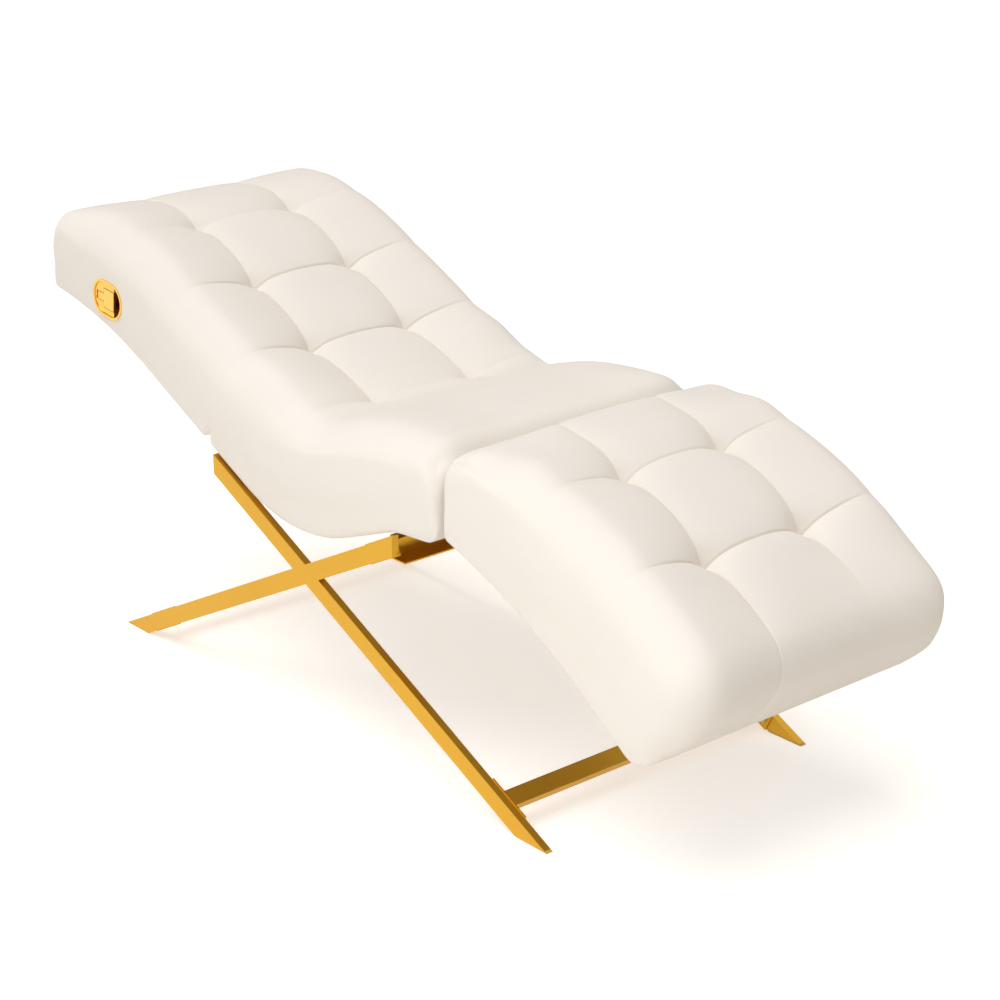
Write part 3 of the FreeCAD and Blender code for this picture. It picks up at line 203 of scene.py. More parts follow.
def coordinates(mesh):
    co = np.zeros(len(mesh.vertices) * 3, np.float32)
    mesh.vertices.foreach_get("co", co)
    return co.reshape(-1, 3).astype(float)


def set_coordinates(mesh, co):
    mesh.vertices.foreach_set("co", co.astype(np.float32).ravel())
    mesh.update()


def keep(mesh, name, values):
    attribute = mesh.attributes.get(name) or mesh.attributes.new(name, "FLOAT", "POINT")
    attribute.data.foreach_set("value", values.astype(np.float32))


def kept(mesh, name):
    values = np.zeros(len(mesh.vertices), np.float32)
    mesh.attributes[name].data.foreach_get("value", values)
    return values.astype(float)


def vertex_normals(mesh):
    normals = np.zeros(len(mesh.vertices) * 3, np.float32)
    mesh.vertices.foreach_get("normal", normals)
    return normals.reshape(-1, 3)


def neighbour_mean(mesh):
    """A function that gives each vertex the mean value of the vertices beside it."""
    ends = np.zeros(len(mesh.edges) * 2, np.int32)
    mesh.edges.foreach_get("vertices", ends)
    a, b = ends[::2], ends[1::2]
    total = len(mesh.vertices)
    count = np.bincount(ends, minlength=total)

    def mean(values):
        return (np.bincount(a, values[b], total) + np.bincount(b, values[a], total)) / count

    return mean


def apply_modifier(obj, modifier):
    select_only(obj)
    bpy.ops.object.modifier_apply(modifier=modifier.name)


def ease(x, low, high):
    """Zero below low, one above high, and smooth between."""
    t = np.clip((x - low) / (high - low), 0, 1)
    return t * t * (3 - 2 * t)


def soft_abs(x, round_off=0.002):
    return np.sqrt(x * x + round_off * round_off) - round_off


# Side view lines
def trace(start, heading, pieces, reach):
    """Points at even shares of a line, in metres, run on to an x where one is given."""
    points = [np.array(start)]
    for length, turn in pieces:
        for _ in range(LINE_STEPS):
            middle = math.radians(heading + turn / LINE_STEPS / 2)
            points.append(points[-1] + length / LINE_STEPS * np.array((math.cos(middle), math.sin(middle))))
            heading += turn / LINE_STEPS
    if reach is not None:
        along = np.array((math.cos(math.radians(heading)), math.sin(math.radians(heading))))
        points.append(points[-1] + (reach - points[-1][0]) / along[0] * along)
    points = np.array(points) * MM
    steps = np.linalg.norm(np.diff(points, axis=0), axis=1)
    run = np.concatenate(([0.0], np.cumsum(steps)))
    return np.stack([np.interp(SHARES * run[-1], run, points[:, k]) for k in (0, 1)], axis=1)


class CushionLine:
    """The space of a cushion: distance along its top line, width, and height over its under line."""

    def __init__(self, top, under):
        self.top, self.under = top, under
        steps = np.linalg.norm(np.diff(top, axis=0), axis=1)
        self.run = np.concatenate(([0.0], np.cumsum(steps)))
        self.length = self.run[-1]

    def line_at(self, points, s):
        spot = np.stack([np.interp(s, self.run, points[:, k]) for k in (0, 1)], axis=1)
        first = (points[1] - points[0]) / (self.run[1] - self.run[0])
        last = (points[-1] - points[-2]) / (self.run[-1] - self.run[-2])
        spot += np.minimum(s, 0)[:, None] * first
        spot += np.maximum(s - self.length, 0)[:, None] * last
        return spot

    def height(self, s):
        s = np.clip(s, 0, self.length)
        return np.linalg.norm(self.line_at(self.top, s) - self.line_at(self.under, s), axis=1)

    def place(self, s, y, v):
        low = self.line_at(self.under, s)
        up = self.line_at(self.top, s) - low
        up /= np.linalg.norm(up, axis=1)[:, None]
        spot = low + up * v[:, None]
        return np.stack([spot[:, 0], y, spot[:, 1]], axis=1)


@dataclass
class Cover:
    """What one cover follows: its line, sewn rows, edges and how its panels stand."""

    line: CushionLine
    # Sewn rows as distances along, how strongly each is drawn, and the tufts with their depth
    rows: list
    row_strength: list
    tufts: list
    # How the panels stand: distance along, height in the middle and height at the sides
    lift: list
    # Radii of the end edges at the foot, middle and top, and the top radius of the start's sides
    start_round: tuple
    start_corner: float
    end_round: tuple
    # Where the lengthways lines fade out, on both sides and on the far side, and their strength at the start
    column_run: tuple
    far_column_run: tuple
    column_start: float
    # Where the fold under the hinge is, which end faces the gap, and the radius by which that end leans
    notch: float
    gap_end: int
    lean: float

    @property
    def stops(self):
        return [0.0, *self.rows, self.line.length]


# Radii of the long edges at the foot, middle and top of a side, and over what length they change at the ends
SIDE_ROUND = (0.005, 0.016, 0.072)
END_BLEND = 0.14

# The span that gets more cuts, the depth where a lean starts, and the smoothing rounds of its corners
LONG_SPAN = 0.3
LEAN_TOP = 0.015
CORNER_ROUNDS = 10

# Half width of the fold under the hinge, and how far from a sewn line the filling is held
NOTCH_WIDTH = 0.007
SEAM_HOLD = 0.008

# The filling: frames that it runs, its cloth, and the rounds that even it out
FILL_FRAMES = 20
FILL_ROUNDS = 12
CLOTH = {
    "quality": 4, "mass": 0.3, "tension_stiffness": 20, "compression_stiffness": 20, "shear_stiffness": 8,
    "bending_stiffness": 2, "use_pressure": True,
}


def between(x, stops):
    """Share of the way from one stop to the next."""
    low = np.searchsorted(stops, x, side="right") - 1
    low = np.clip(low, 0, len(stops) - 2)
    stops = np.array(stops)
    return (x - stops[low]) / (stops[low + 1] - stops[low])


def crowd(x, stops, amount=0.75):
    """Draw mesh lines toward the stops, where the sewn lines are."""
    low = np.clip(np.searchsorted(stops, x, side="right") - 1, 0, len(stops) - 2)
    stops = np.array(stops)
    width = stops[low + 1] - stops[low]
    t = (x - stops[low]) / width
    return stops[low] + width * (t - amount / (2 * math.pi) * np.sin(2 * math.pi * t))


def cover_block(name, cover):
    """A block of the cover's length, width and height, cut along its sewn lines and divided evenly."""
    size = sizes()
    length = cover.line.length
    bpy.ops.object.select_all(action="DESELECT")
    bpy.ops.mesh.primitive_cube_add(size=1, location=(length / 2, 0, 0.5))
    block = bpy.context.object
    block.name = name
    block.scale = (length, 2 * size.half_width, 1)
    bpy.ops.object.transform_apply(location=True, rotation=True, scale=True)
    bpy.ops.object.mode_set(mode="EDIT")
    stops = cover.stops
    cuts = [((x, 0, 0), (1, 0, 0)) for x in stops[1:-1]]
    cuts += [(((a + b) / 2, 0, 0), (1, 0, 0)) for a, b in zip(stops, stops[1:])]
    for a, b in zip(stops, stops[1:]):
        if b - a > LONG_SPAN:
            cuts += [((a + (b - a) * share, 0, 0), (1, 0, 0)) for share in (0.25, 0.75)]
    outer = (size.half_width + size.column) / 2
    cuts += [((0, y, 0), (0, 1, 0)) for y in (-outer, -size.column, 0, size.column, outer)]
    cuts.append(((0, 0, 0.5), (0, 0, 1)))
    for place, normal in cuts:
        bpy.ops.mesh.select_all(action="SELECT")
        bpy.ops.mesh.bisect(plane_co=place, plane_no=normal)
    bpy.ops.mesh.select_all(action="SELECT")
    bpy.ops.mesh.subdivide(number_cuts=size.cells)
    bpy.ops.object.mode_set(mode="OBJECT")
    return block


def edge_round(cover, s, q):
    """Radii of the rounded edges along, across and up, at a distance along and a share of the height."""
    def by_height(low, middle, high):
        return low + (middle - low) * ease(q, 0.05, 0.4) + (high - middle) * ease(q, 0.5, 0.95)

    length = cover.line.length
    half = s < length / 2
    along = np.where(half, by_height(*cover.start_round), by_height(*cover.end_round))
    at_start = 1 - ease(s, 0.0, END_BLEND)
    at_end = ease(s, length - END_BLEND, length)
    upright = by_height(*SIDE_ROUND)
    across = upright + (by_height(*SIDE_ROUND[:2], cover.start_corner) - upright) * at_start
    across += (by_height(SIDE_ROUND[0], cover.end_round[1], SIDE_ROUND[2]) - across) * at_end
    upright += (by_height(*cover.start_round) - upright) * at_start
    upright += (by_height(*cover.end_round) - upright) * at_end
    return np.stack([along, across, upright], axis=1)


def column_strength(cover, s, y):
    """How strongly the lengthways lines are drawn in, easing off at the outer ends."""
    length = cover.line.length
    run = (1 - ease(s, *cover.column_run)) * (1 - 0.7 * ease(s, length - 0.10, length - 0.01))
    run *= 1 - ease(s, *cover.far_column_run) * ease(y, -0.05, 0.05)
    return run * (cover.column_start + (1 - cover.column_start) * ease(s, 0.0, 0.10))


def stand(cover, s, y):
    """How far the panels stand over the cushion's line, in the middle and along the outer panels."""
    outer = ease(np.abs(y), 0.11, 0.25)
    place, middle, side = cover.lift[0]
    height = middle + (side - middle) * outer
    for before, after in zip(cover.lift, cover.lift[1:]):
        rise = after[1] - before[1] + (after[2] - before[2] - after[1] + before[1]) * outer
        height = height + rise * ease(s, before[0], after[0])
    return height


def relief(cover, s, y):
    """Crown of the panels, valleys along the sewn lines and the pull of the tufts."""
    size = sizes()
    t = between(np.clip(s, 0, cover.line.length), cover.stops)
    along = 1 - (2 * t - 1) ** 4
    inside = np.abs(y) < size.column
    middle = 1 - np.clip(np.abs(y) / size.column, 0, 1) ** 4
    share = np.clip((np.abs(y) - size.column) / (size.half_width - size.column), 0, 1)
    outer = 0.7 * (1 - (2 * share - 1) ** 4)
    across = np.where(inside, middle, outer)
    run = column_strength(cover, s, y)
    plain = size.seat_crown * (1 - ease(np.abs(y), 0.05, size.half_width)) * ease(s, *cover.column_run)
    height = size.crown * along * across * run + plain
    height += stand(cover, s, y)
    column = run * np.exp(-soft_abs(np.abs(y) - size.column) / size.valley_reach)
    row = np.zeros_like(s)
    for place, strength in zip(cover.rows, cover.row_strength):
        fade = 1 - ease(np.abs(y), size.half_width * 0.55, size.half_width * 0.9)
        row = np.maximum(row, strength * fade * np.exp(-soft_abs(s - place) / size.valley_reach))
    height -= size.valley * (1 - (1 - column) * (1 - row))
    for place, deep in cover.tufts:
        for side in (-size.column, size.column):
            away = soft_abs(s - place, 0.004) + soft_abs(y - side, 0.004)
            height -= deep * np.exp(-away / size.tuft_reach)
            height -= size.pocket * np.exp(-((s - place) ** 2 + (y - side) ** 2) / size.pocket_reach**2)
    return height


def shape_cover(obj, cover):
    """Wrap the block around the cushion's lines, with round edges and full panels."""
    size = sizes()
    line = cover.line
    box = coordinates(obj.data)
    s = crowd(box[:, 0], cover.stops)
    y = crowd(box[:, 1], [-size.half_width, -size.column, size.column, size.half_width])
    q = box[:, 2]
    tall = line.height(s)
    radius = edge_round(cover, s, q)
    draw = np.where(q < 0.5, size.side_draw, size.side_draw / 2) * (2 * q - 1) ** 2
    y = y * (size.half_width - draw) / size.half_width
    point = np.stack([s, y, q * tall], axis=1)
    low = np.stack([np.zeros_like(s), -(size.half_width - draw), np.zeros_like(s)], axis=1)
    high = np.stack([np.full_like(s, line.length), size.half_width - draw, tall], axis=1)
    inner = np.clip(point, low + radius, high - radius)
    out = (np.clip(point, low, high) - inner) / radius
    out /= np.maximum(np.linalg.norm(out, axis=1), 1e-9)[:, None]
    point = inner + out * radius
    s_flat, y_flat = point[:, 0].copy(), point[:, 1].copy()
    facing_gap = np.maximum(out[:, 0] * cover.gap_end, 0)
    free_end = np.where(facing_gap > 0, 0, out[:, 0])
    upward = ease(out[:, 2], 0.0, 0.6) * np.maximum(out[:, 2], 0)
    weight = np.sqrt(out[:, 0] ** 2 + upward**2)
    if cover.lean > 0:
        depth = np.clip(tall - point[:, 2], LEAN_TOP, cover.lean)
        back = cover.lean - np.sqrt(cover.lean**2 - (cover.lean - depth) ** 2)
        point[:, 0] = np.cbrt(point[:, 0] ** 3 + back**3)
    fade_low = np.where(out[:, 2] > 0.3, 1.0, ease(point[:, 2], 0.03, 0.09))
    lift = relief(cover, s_flat, y_flat) * fade_low
    point[:, 0] += free_end * np.maximum(lift, 0) * ease(q, 0.1, 0.7)
    point[:, 2] += upward * lift
    if cover.notch is not None:
        pinch = size.notch * np.exp(-(((s - cover.notch) / NOTCH_WIDTH) ** 2)) * (1 - ease(q, 0.0, 0.25))
        point[:, 1] -= np.sign(y_flat) * pinch * ease(np.abs(y_flat), 0.30, size.half_width)
        point[:, 2] += pinch
    set_coordinates(obj.data, line.place(point[:, 0], point[:, 1], point[:, 2]))
    keep(obj.data, "sewn_along", s_flat)
    keep(obj.data, "sewn_across", y_flat)
    keep(obj.data, "sewn_skin", np.clip(weight, 0, 1) * fade_low)
    keep(obj.data, "share_up", q)
    keep(obj.data, "facing_down", np.maximum(-out[:, 2], 0))
    keep(obj.data, "facing_gap", facing_gap)


def seam_closeness(cover, s, y):
    """Closeness to the sewn lines: one on a line and zero a seam's width away from it."""
    size = sizes()
    width = size.seam_width
    run = column_strength(cover, s, y)
    column = run * np.exp(-(((np.abs(y) - size.column) / width) ** 2))
    row = np.zeros_like(s)
    for place, strength in zip(cover.rows, cover.row_strength):
        fade = 1 - ease(np.abs(y), size.half_width * 0.6, size.half_width * 0.88)
        row = np.maximum(row, strength * fade * np.exp(-(((s - place) / width) ** 2)))
    return np.maximum(column, row)


def swell(obj, cover):
    """Let the filling push the cover out between its sewn lines, as far as the swell allows."""
    size = sizes()
    mesh = obj.data
    before = coordinates(mesh)
    s, y = kept(mesh, "sewn_along"), kept(mesh, "sewn_across")
    held = ease(kept(mesh, "facing_down"), 0.1, 0.5)
    held = np.maximum(held, ease(kept(mesh, "facing_gap"), 0.2, 0.7))
    held = np.maximum(held, 1 - ease(kept(mesh, "share_up"), 0.12, 0.35))
    run = column_strength(cover, s, y)
    skin = kept(mesh, "sewn_skin")
    held = np.maximum(held, skin * run * np.exp(-(((np.abs(y) - size.column) / SEAM_HOLD) ** 2)))
    for place, strength in zip(cover.rows, cover.row_strength):
        fade = 1 - ease(np.abs(y), size.half_width * 0.7, size.half_width)
        held = np.maximum(held, skin * fade * strength * np.exp(-(((s - place) / SEAM_HOLD) ** 2)))
    if cover.lean > 0:
        held = np.maximum(held, gap_corners(mesh))
    near_handle = np.hypot(before[:, 0] - HANDLE_X, before[:, 2] - HANDLE_Z)
    held = np.maximum(held, np.where(before[:, 1] < -0.3, 1 - ease(near_handle, 0.07, 0.13), 0))
    group = obj.vertex_groups.new(name="sewn")
    levels = np.round(held * 20).astype(int)
    for level in range(1, 21):
        group.add(np.nonzero(levels == level)[0].tolist(), level / 20, "REPLACE")
    cloth = obj.modifiers.new("Filling", "CLOTH")
    for key, value in CLOTH.items():
        setattr(cloth.settings, key, value)
    cloth.settings.uniform_pressure_force = size.pressure
    cloth.settings.effector_weights.gravity = 0
    cloth.settings.vertex_group_mass = "sewn"
    cloth.point_cache.frame_start = 1
    cloth.point_cache.frame_end = FILL_FRAMES
    scene = bpy.context.scene
    for step in range(1, FILL_FRAMES + 1):
        scene.frame_set(step)
    filled = obj.evaluated_get(bpy.context.evaluated_depsgraph_get()).to_mesh()
    normals = vertex_normals(mesh)
    push = np.maximum(np.einsum("ij,ij->i", coordinates(filled) - before, normals), 0)
    obj.modifiers.remove(cloth)
    obj.vertex_groups.clear()
    scene.frame_set(1)
    push = even_out(mesh, push, 1 - held)
    full = max(np.percentile(push, 97), 1e-6)
    push = size.swell * np.tanh(push / full) * (0.45 + 0.55 * skin)
    set_coordinates(mesh, before + normals * push[:, None])


def even_out(mesh, values, free):
    """Smooth values over the mesh where they are free to move."""
    mean = neighbour_mean(mesh)
    for _ in range(FILL_ROUNDS):
        values = (0.4 * values + 0.6 * mean(values)) * free
    return values


def gap_corners(mesh):
    """One at the two upper corners that lean back from the gap, and zero away from them."""
    s, y = kept(mesh, "sewn_along"), kept(mesh, "sewn_across")
    return (1 - ease(s, 0.04, 0.11)) * ease(np.abs(y), 0.20, 0.28) * ease(kept(mesh, "share_up"), 0.3, 0.5)


def soften_corners(obj):
    """Round the two upper corners that lean back from the gap."""
    mesh = obj.data
    near = gap_corners(mesh)
    mean = neighbour_mean(mesh)
    co = coordinates(mesh)
    for _ in range(CORNER_ROUNDS):
        for axis in range(3):
            co[:, axis] += 0.5 * near * (mean(co[:, axis]) - co[:, axis])
    set_coordinates(mesh, co)


def sew(obj, cover):
    """Press the tight folds of the sewn lines into the filled cover."""
    size = sizes()
    mesh = obj.data
    s, y = kept(mesh, "sewn_along"), kept(mesh, "sewn_across")
    tight = seam_closeness(cover, s, y) * kept(mesh, "sewn_skin")
    set_coordinates(mesh, coordinates(mesh) - vertex_normals(mesh) * (size.seam_depth * tight)[:, None])
    # This fold mask also sets where the velvet is given its painted fold shade
    keep(mesh, "fold", tight)


def make_cover(name, cover, *nodes):
    """Make one filled and sewn cover in place of these pads."""
    obj = cover_block(name, cover)
    shape_cover(obj, cover)
    swell(obj, cover)
    if cover.lean > 0:
        soften_corners(obj)
    select_only(obj)
    smooth = obj.modifiers.new("Smooth", "SUBSURF")
    smooth.levels = 1
    smooth.render_levels = 1
    apply_modifier(obj, smooth)
    sew(obj, cover)
    for extra in ("share_up", "facing_down", "facing_gap", "sewn_skin"):
        obj.data.attributes.remove(obj.data.attributes[extra])
    bpy.ops.object.shade_smooth()
    obj.data.materials.append(velvet_material())
    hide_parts(*nodes)
    return obj


# Shader helpers
def add_node(tree, kind, inputs=None, **settings):
    """Add a node, set its settings, and set or link its inputs, named or numbered."""
    node = tree.nodes.new("ShaderNode" + kind)
    for key, value in settings.items():
        setattr(node, key, value)
    for key, value in (inputs or {}).items():
        if isinstance(value, bpy.types.NodeSocket):
            tree.links.new(value, node.inputs[key])
        else:
            node.inputs[key].default_value = value
    return node


def mix(tree, factor, a, b):
    return add_node(tree, "Mix", {0: factor, 6: a, 7: b}, data_type="RGBA").outputs[2]


def spread(tree, value, low, high):
    return add_node(tree, "MapRange", {"Value": value, "To Min": low, "To Max": high}).outputs["Result"]


def group_tree(name, inputs, outputs):
    """A shader node group with the named inputs and outputs, and whether it is new."""
    tree = bpy.data.node_groups.get(name)
    if tree:
        return tree, False
    tree = bpy.data.node_groups.new(name, "ShaderNodeTree")
    for label, kind, default in inputs:
        socket = tree.interface.new_socket(name=label, in_out="INPUT", socket_type=kind)
        if default is not None:
            socket.default_value = default
    for label, kind in outputs:
        tree.interface.new_socket(name=label, in_out="OUTPUT", socket_type=kind)
    tree.nodes.new("NodeGroupInput")
    tree.nodes.new("NodeGroupOutput")
    return tree, True


def group_ends(tree):
    source = next(n for n in tree.nodes if n.bl_idname == "NodeGroupInput")
    target = next(n for n in tree.nodes if n.bl_idname == "NodeGroupOutput")
    return source.outputs, target.inputs


def mottle_group():
    """Slow and fine unevenness of a surface, each from zero to one."""
    tree, new = group_tree(
        "mottle",
        [("Vector", "NodeSocketVector", None), ("Slow", "NodeSocketFloat", 6.0), ("Fine", "NodeSocketFloat", 400.0)],
        [("Slow", "NodeSocketFloat"), ("Fine", "NodeSocketFloat")],
    )
    if new:
        given, out = group_ends(tree)
        slow = add_node(tree, "TexNoise", {"Vector": given["Vector"], "Scale": given["Slow"], "Detail": 3.0})
        fine = add_node(tree, "TexNoise", {"Vector": given["Vector"], "Scale": given["Fine"], "Detail": 2.0})
        tree.links.new(spread(tree, slow.outputs[0], -0.6, 1.6), out["Slow"])
        tree.links.new(fine.outputs[0], out["Fine"])
    return tree


def brushed_group():
    """Fine lines drawn along one direction, from zero to one."""
    tree, new = group_tree(
        "brushed",
        [("Vector", "NodeSocketVector", None), ("Stretch", "NodeSocketVector", (1.0, 1.0, 1.0))],
        [("Lines", "NodeSocketFloat"), ("Cloud", "NodeSocketFloat")],
    )
    if new:
        given, out = group_ends(tree)
        drawn = add_node(tree, "VectorMath", {0: given["Vector"], 1: given["Stretch"]}, operation="MULTIPLY")
        lines = add_node(tree, "TexNoise", {"Vector": drawn.outputs[0], "Scale": 1.0, "Detail": 4.0})
        cloud = add_node(tree, "TexNoise", {"Vector": given["Vector"], "Scale": 9.0, "Detail": 2.0})
        tree.links.new(lines.outputs[0], out["Lines"])
        tree.links.new(cloud.outputs[0], out["Cloud"])
    return tree


def weave_group():
    """Height and shade of a plain weave of the given thread count per metre."""
    tree, new = group_tree(
        "weave",
        [("Vector", "NodeSocketVector", None), ("Threads", "NodeSocketFloat", 600.0)],
        [("Height", "NodeSocketFloat"), ("Shade", "NodeSocketFloat")],
    )
    if new:
        given, out = group_ends(tree)
        bands = []
        for direction in ("X", "Y"):
            wave = add_node(
                tree, "TexWave", {"Vector": given["Vector"], "Scale": given["Threads"], "Distortion": 0.6},
                wave_type="BANDS", bands_direction=direction,
            )
            bands.append(wave.outputs["Fac"])
        height = add_node(tree, "Math", {0: bands[0], 1: bands[1]}, operation="MULTIPLY")
        cloud = add_node(tree, "TexNoise", {"Vector": given["Vector"], "Scale": 30.0, "Detail": 3.0})
        tree.links.new(height.outputs[0], out["Height"])
        tree.links.new(cloud.outputs[0], out["Shade"])
    return tree


def new_material(name):
    """A material with a shader, and the object coordinates that its patterns read."""
    material = bpy.data.materials.new(name)
    material.use_nodes = True
    tree = material.node_tree
    shader = tree.nodes["Principled BSDF"]
    place = add_node(tree, "TexCoord").outputs["Object"]
    return material, tree, shader, place


def use_group(tree, group, inputs):
    return add_node(tree, "Group", inputs, node_tree=group).outputs


def bump(tree, shader, height, strength, distance):
    node = add_node(tree, "Bump", {"Height": height, "Strength": strength, "Distance": distance})
    tree.links.new(node.outputs["Normal"], shader.inputs["Normal"])


def tone(color, amount):
    return tuple(c * amount for c in color[:3]) + (1.0,)


def velvet_material():
    material = bpy.data.materials.get("ivory_velvet")
    if material:
        return material
    material, tree, shader, place = new_material("ivory_velvet")
    base = tuple(colours().velvet)
    nap = use_group(tree, mottle_group(), {"Vector": place, "Slow": 7.0, "Fine": 1400.0})
    fold = add_node(tree, "Attribute", attribute_name="fold").outputs["Fac"]
    cloth = mix(tree, spread(tree, nap["Slow"], 0.0, 0.35), base, tone(base, 0.955))
    pile = mix(tree, spread(tree, nap["Fine"], 0.0, 0.12), cloth, tone(base, 0.86))
    # Painted shade: the velvet darkens toward the fold shade colour along the sewn folds
    sewn = mix(tree, spread(tree, fold, 0.0, 0.55), pile, tuple(colours().velvet_fold_shade))
    tree.links.new(sewn, shader.inputs["Base Color"])
    shader.inputs["Roughness"].default_value = 0.9
    shader.inputs["Sheen Weight"].default_value = 0.25
    shader.inputs["Sheen Roughness"].default_value = 0.5
    shader.inputs["Sheen Tint"].default_value = (1.0, 0.96, 0.9, 1)
    shader.inputs["Specular IOR Level"].default_value = 0.2
    bump(tree, shader, nap["Fine"], 0.25, 0.0006)
    return material


def gold_material():
    material, tree, shader, place = new_material("satin_gold")
    base = tuple(colours().gold)
    grain = use_group(tree, brushed_group(), {"Vector": place, "Stretch": (60.0, 900.0, 900.0)})
    surface = use_group(tree, mottle_group(), {"Vector": place, "Slow": 5.0, "Fine": 2200.0})
    coat = mix(tree, spread(tree, surface["Slow"], 0.0, 0.4), base, tone(base, 0.9))
    tree.links.new(coat, shader.inputs["Base Color"])
    shader.inputs["Metallic"].default_value = 1.0
    tree.links.new(spread(tree, grain["Lines"], 0.26, 0.38), shader.inputs["Roughness"])
    bump(tree, shader, surface["Fine"], 0.12, 0.0002)
    return material


def coated_material(name, color, slow, fine, patch, other, rough, metallic=0.0, coat=0.0, grain=0.0):
    """A smooth coat with slow patches of another tone, and a fine unevenness in its gloss."""
    material, tree, shader, place = new_material(name)
    base = tuple(color)
    surface = use_group(tree, mottle_group(), {"Vector": place, "Slow": slow, "Fine": fine})
    skin = mix(tree, spread(tree, surface["Slow"], 0.0, patch), base, tone(base, other))
    tree.links.new(skin, shader.inputs["Base Color"])
    tree.links.new(spread(tree, surface["Fine"], *rough), shader.inputs["Roughness"])
    shader.inputs["Metallic"].default_value = metallic
    shader.inputs["Coat Weight"].default_value = coat
    if grain > 0:
        bump(tree, shader, surface["Fine"], grain, 0.0002)
    return material


def moulded_gold_material():
    return coated_material("moulded_gold", colours().moulded, 20.0, 1500.0, 0.4, 0.85, (0.4, 0.55), grain=0.2)


def polished_material():
    return coated_material("polished_gold", colours().polished, 30.0, 900.0, 0.3, 0.92, (0.20, 0.30), metallic=1.0)


def black_material(name, rough, coat):
    return coated_material(name, colours().black, 20.0, 1500.0, 0.5, 1.5, rough, coat=coat, grain=0.2)


def plywood_material():
    material, tree, shader, place = new_material("plywood")
    base = tuple(colours().plywood)
    grain = use_group(tree, brushed_group(), {"Vector": place, "Stretch": (14.0, 60.0, 260.0)})
    plies = add_node(
        tree, "TexWave", {"Vector": place, "Scale": 110.0, "Distortion": 0.4}, wave_type="BANDS", bands_direction="Y"
    )
    wood = mix(tree, grain["Lines"], tone(base, 1.12), tone(base, 0.7))
    layered = mix(tree, spread(tree, plies.outputs["Fac"], 0.0, 0.35), wood, tone(base, 0.5))
    tree.links.new(layered, shader.inputs["Base Color"])
    tree.links.new(spread(tree, grain["Cloud"], 0.55, 0.75), shader.inputs["Roughness"])
    bump(tree, shader, grain["Lines"], 0.2, 0.0004)
    return material


def webbing_material():
    material, tree, shader, place = new_material("elastic_webbing")
    base = tuple(colours().webbing)
    cloth = use_group(tree, weave_group(), {"Vector": place, "Threads": 180.0})
    strap = mix(tree, cloth["Height"], tone(base, 0.6), tone(base, 1.7))
    tree.links.new(strap, shader.inputs["Base Color"])
    shader.inputs["Roughness"].default_value = 0.8
    bump(tree, shader, cloth["Height"], 0.5, 0.0006)
    return material


def lining_material():
    material, tree, shader, place = new_material("lining_cloth")
    base = tuple(colours().lining)
    cloth = use_group(tree, weave_group(), {"Vector": place, "Threads": 420.0})
    shade = mix(tree, spread(tree, cloth["Shade"], 0.0, 0.5), base, tone(base, 0.88))
    woven = mix(tree, spread(tree, cloth["Height"], 0.25, 0.0), shade, tone(base, 0.75))
    tree.links.new(woven, shader.inputs["Base Color"])
    shader.inputs["Roughness"].default_value = 0.85
    bump(tree, shader, cloth["Height"], 0.4, 0.0004)
    return material


def steel_material():
    material, tree, shader, place = new_material("zinc_steel")
    base = tuple(colours().steel)
    grain = use_group(tree, brushed_group(), {"Vector": place, "Stretch": (300.0, 300.0, 1500.0)})
    zinc = mix(tree, spread(tree, grain["Cloud"], 0.0, 0.6), base, tone(base, 0.72))
    tree.links.new(zinc, shader.inputs["Base Color"])
    shader.inputs["Metallic"].default_value = 1.0
    tree.links.new(spread(tree, grain["Lines"], 0.28, 0.48), shader.inputs["Roughness"])
    return material


def dress(material, names):
    """Give the finish to these pieces of the frame."""
    for name in names:
        node = frame["nodes"][name]
        node.data.materials.clear()
        node.data.materials.append(material)


def nodes_in_slot(slot):
    return [part["node"] for part in frame["record"]["subparts"] if part["material_slot"] == slot]


# What each cover follows
BACK_TOP_RUN, BACK_UNDER_RUN = trace(*BACK_TOP)[::-1], trace(*BACK_UNDER)[::-1]
BODY_LINE = CushionLine(
    np.concatenate([BACK_TOP_RUN, trace(*SEAT_TOP)[1:]]), np.concatenate([BACK_UNDER_RUN, trace(*SEAT_UNDER)[1:]])
)
LEG_LINE = CushionLine(trace(*LEG_TOP), trace(*LEG_UNDER))
BEND = BODY_LINE.run[len(SHARES) - 1]
NEVER = (9.0, 9.1)
BODY_COVER = Cover(
    line=BODY_LINE, rows=[BEND - 0.414, BEND - 0.207, BEND, BEND + 0.210], row_strength=[0.2, 1.0, 1.0, 0.3],
    tufts=[(BEND - 0.414, 0.023), (BEND - 0.207, 0.026), (BEND, 0.026), (BEND + 0.210, 0.015)],
    lift=[
        (0.0, 0.002, 0.006), (0.18, 0.022, 0.029), (BEND, 0.022, 0.034), (BEND + 0.09, 0.022, 0.042),
        (BEND + 0.19, 0.016, 0.026), (BEND + 0.28, 0.006, 0.006), (BEND + 0.45, 0.006, 0.012),
    ],
    start_round=(0.006, 0.014, 0.036), start_corner=0.036, end_round=(0.030, 0.018, 0.056),
    column_run=(BEND + 0.205, BEND + 0.235), far_column_run=NEVER, column_start=0.3, notch=BEND, gap_end=1, lean=0.0,
)
LEG_COVER = Cover(
    line=LEG_LINE, rows=[0.253, 0.477], row_strength=[0.8, 1.0], tufts=[(0.253, 0.031), (0.477, 0.037)],
    lift=[(0.0, -0.004, -0.002), (0.09, 0.000, -0.015), (0.21, 0.014, 0.017), (0.45, 0.019, 0.030)],
    start_round=(0.010, 0.018, 0.100), start_corner=0.052, end_round=(0.074, 0.040, 0.052), column_run=NEVER,
    far_column_run=(0.500, 0.575), column_start=0.0, notch=None, gap_end=-1, lean=0.105,
)

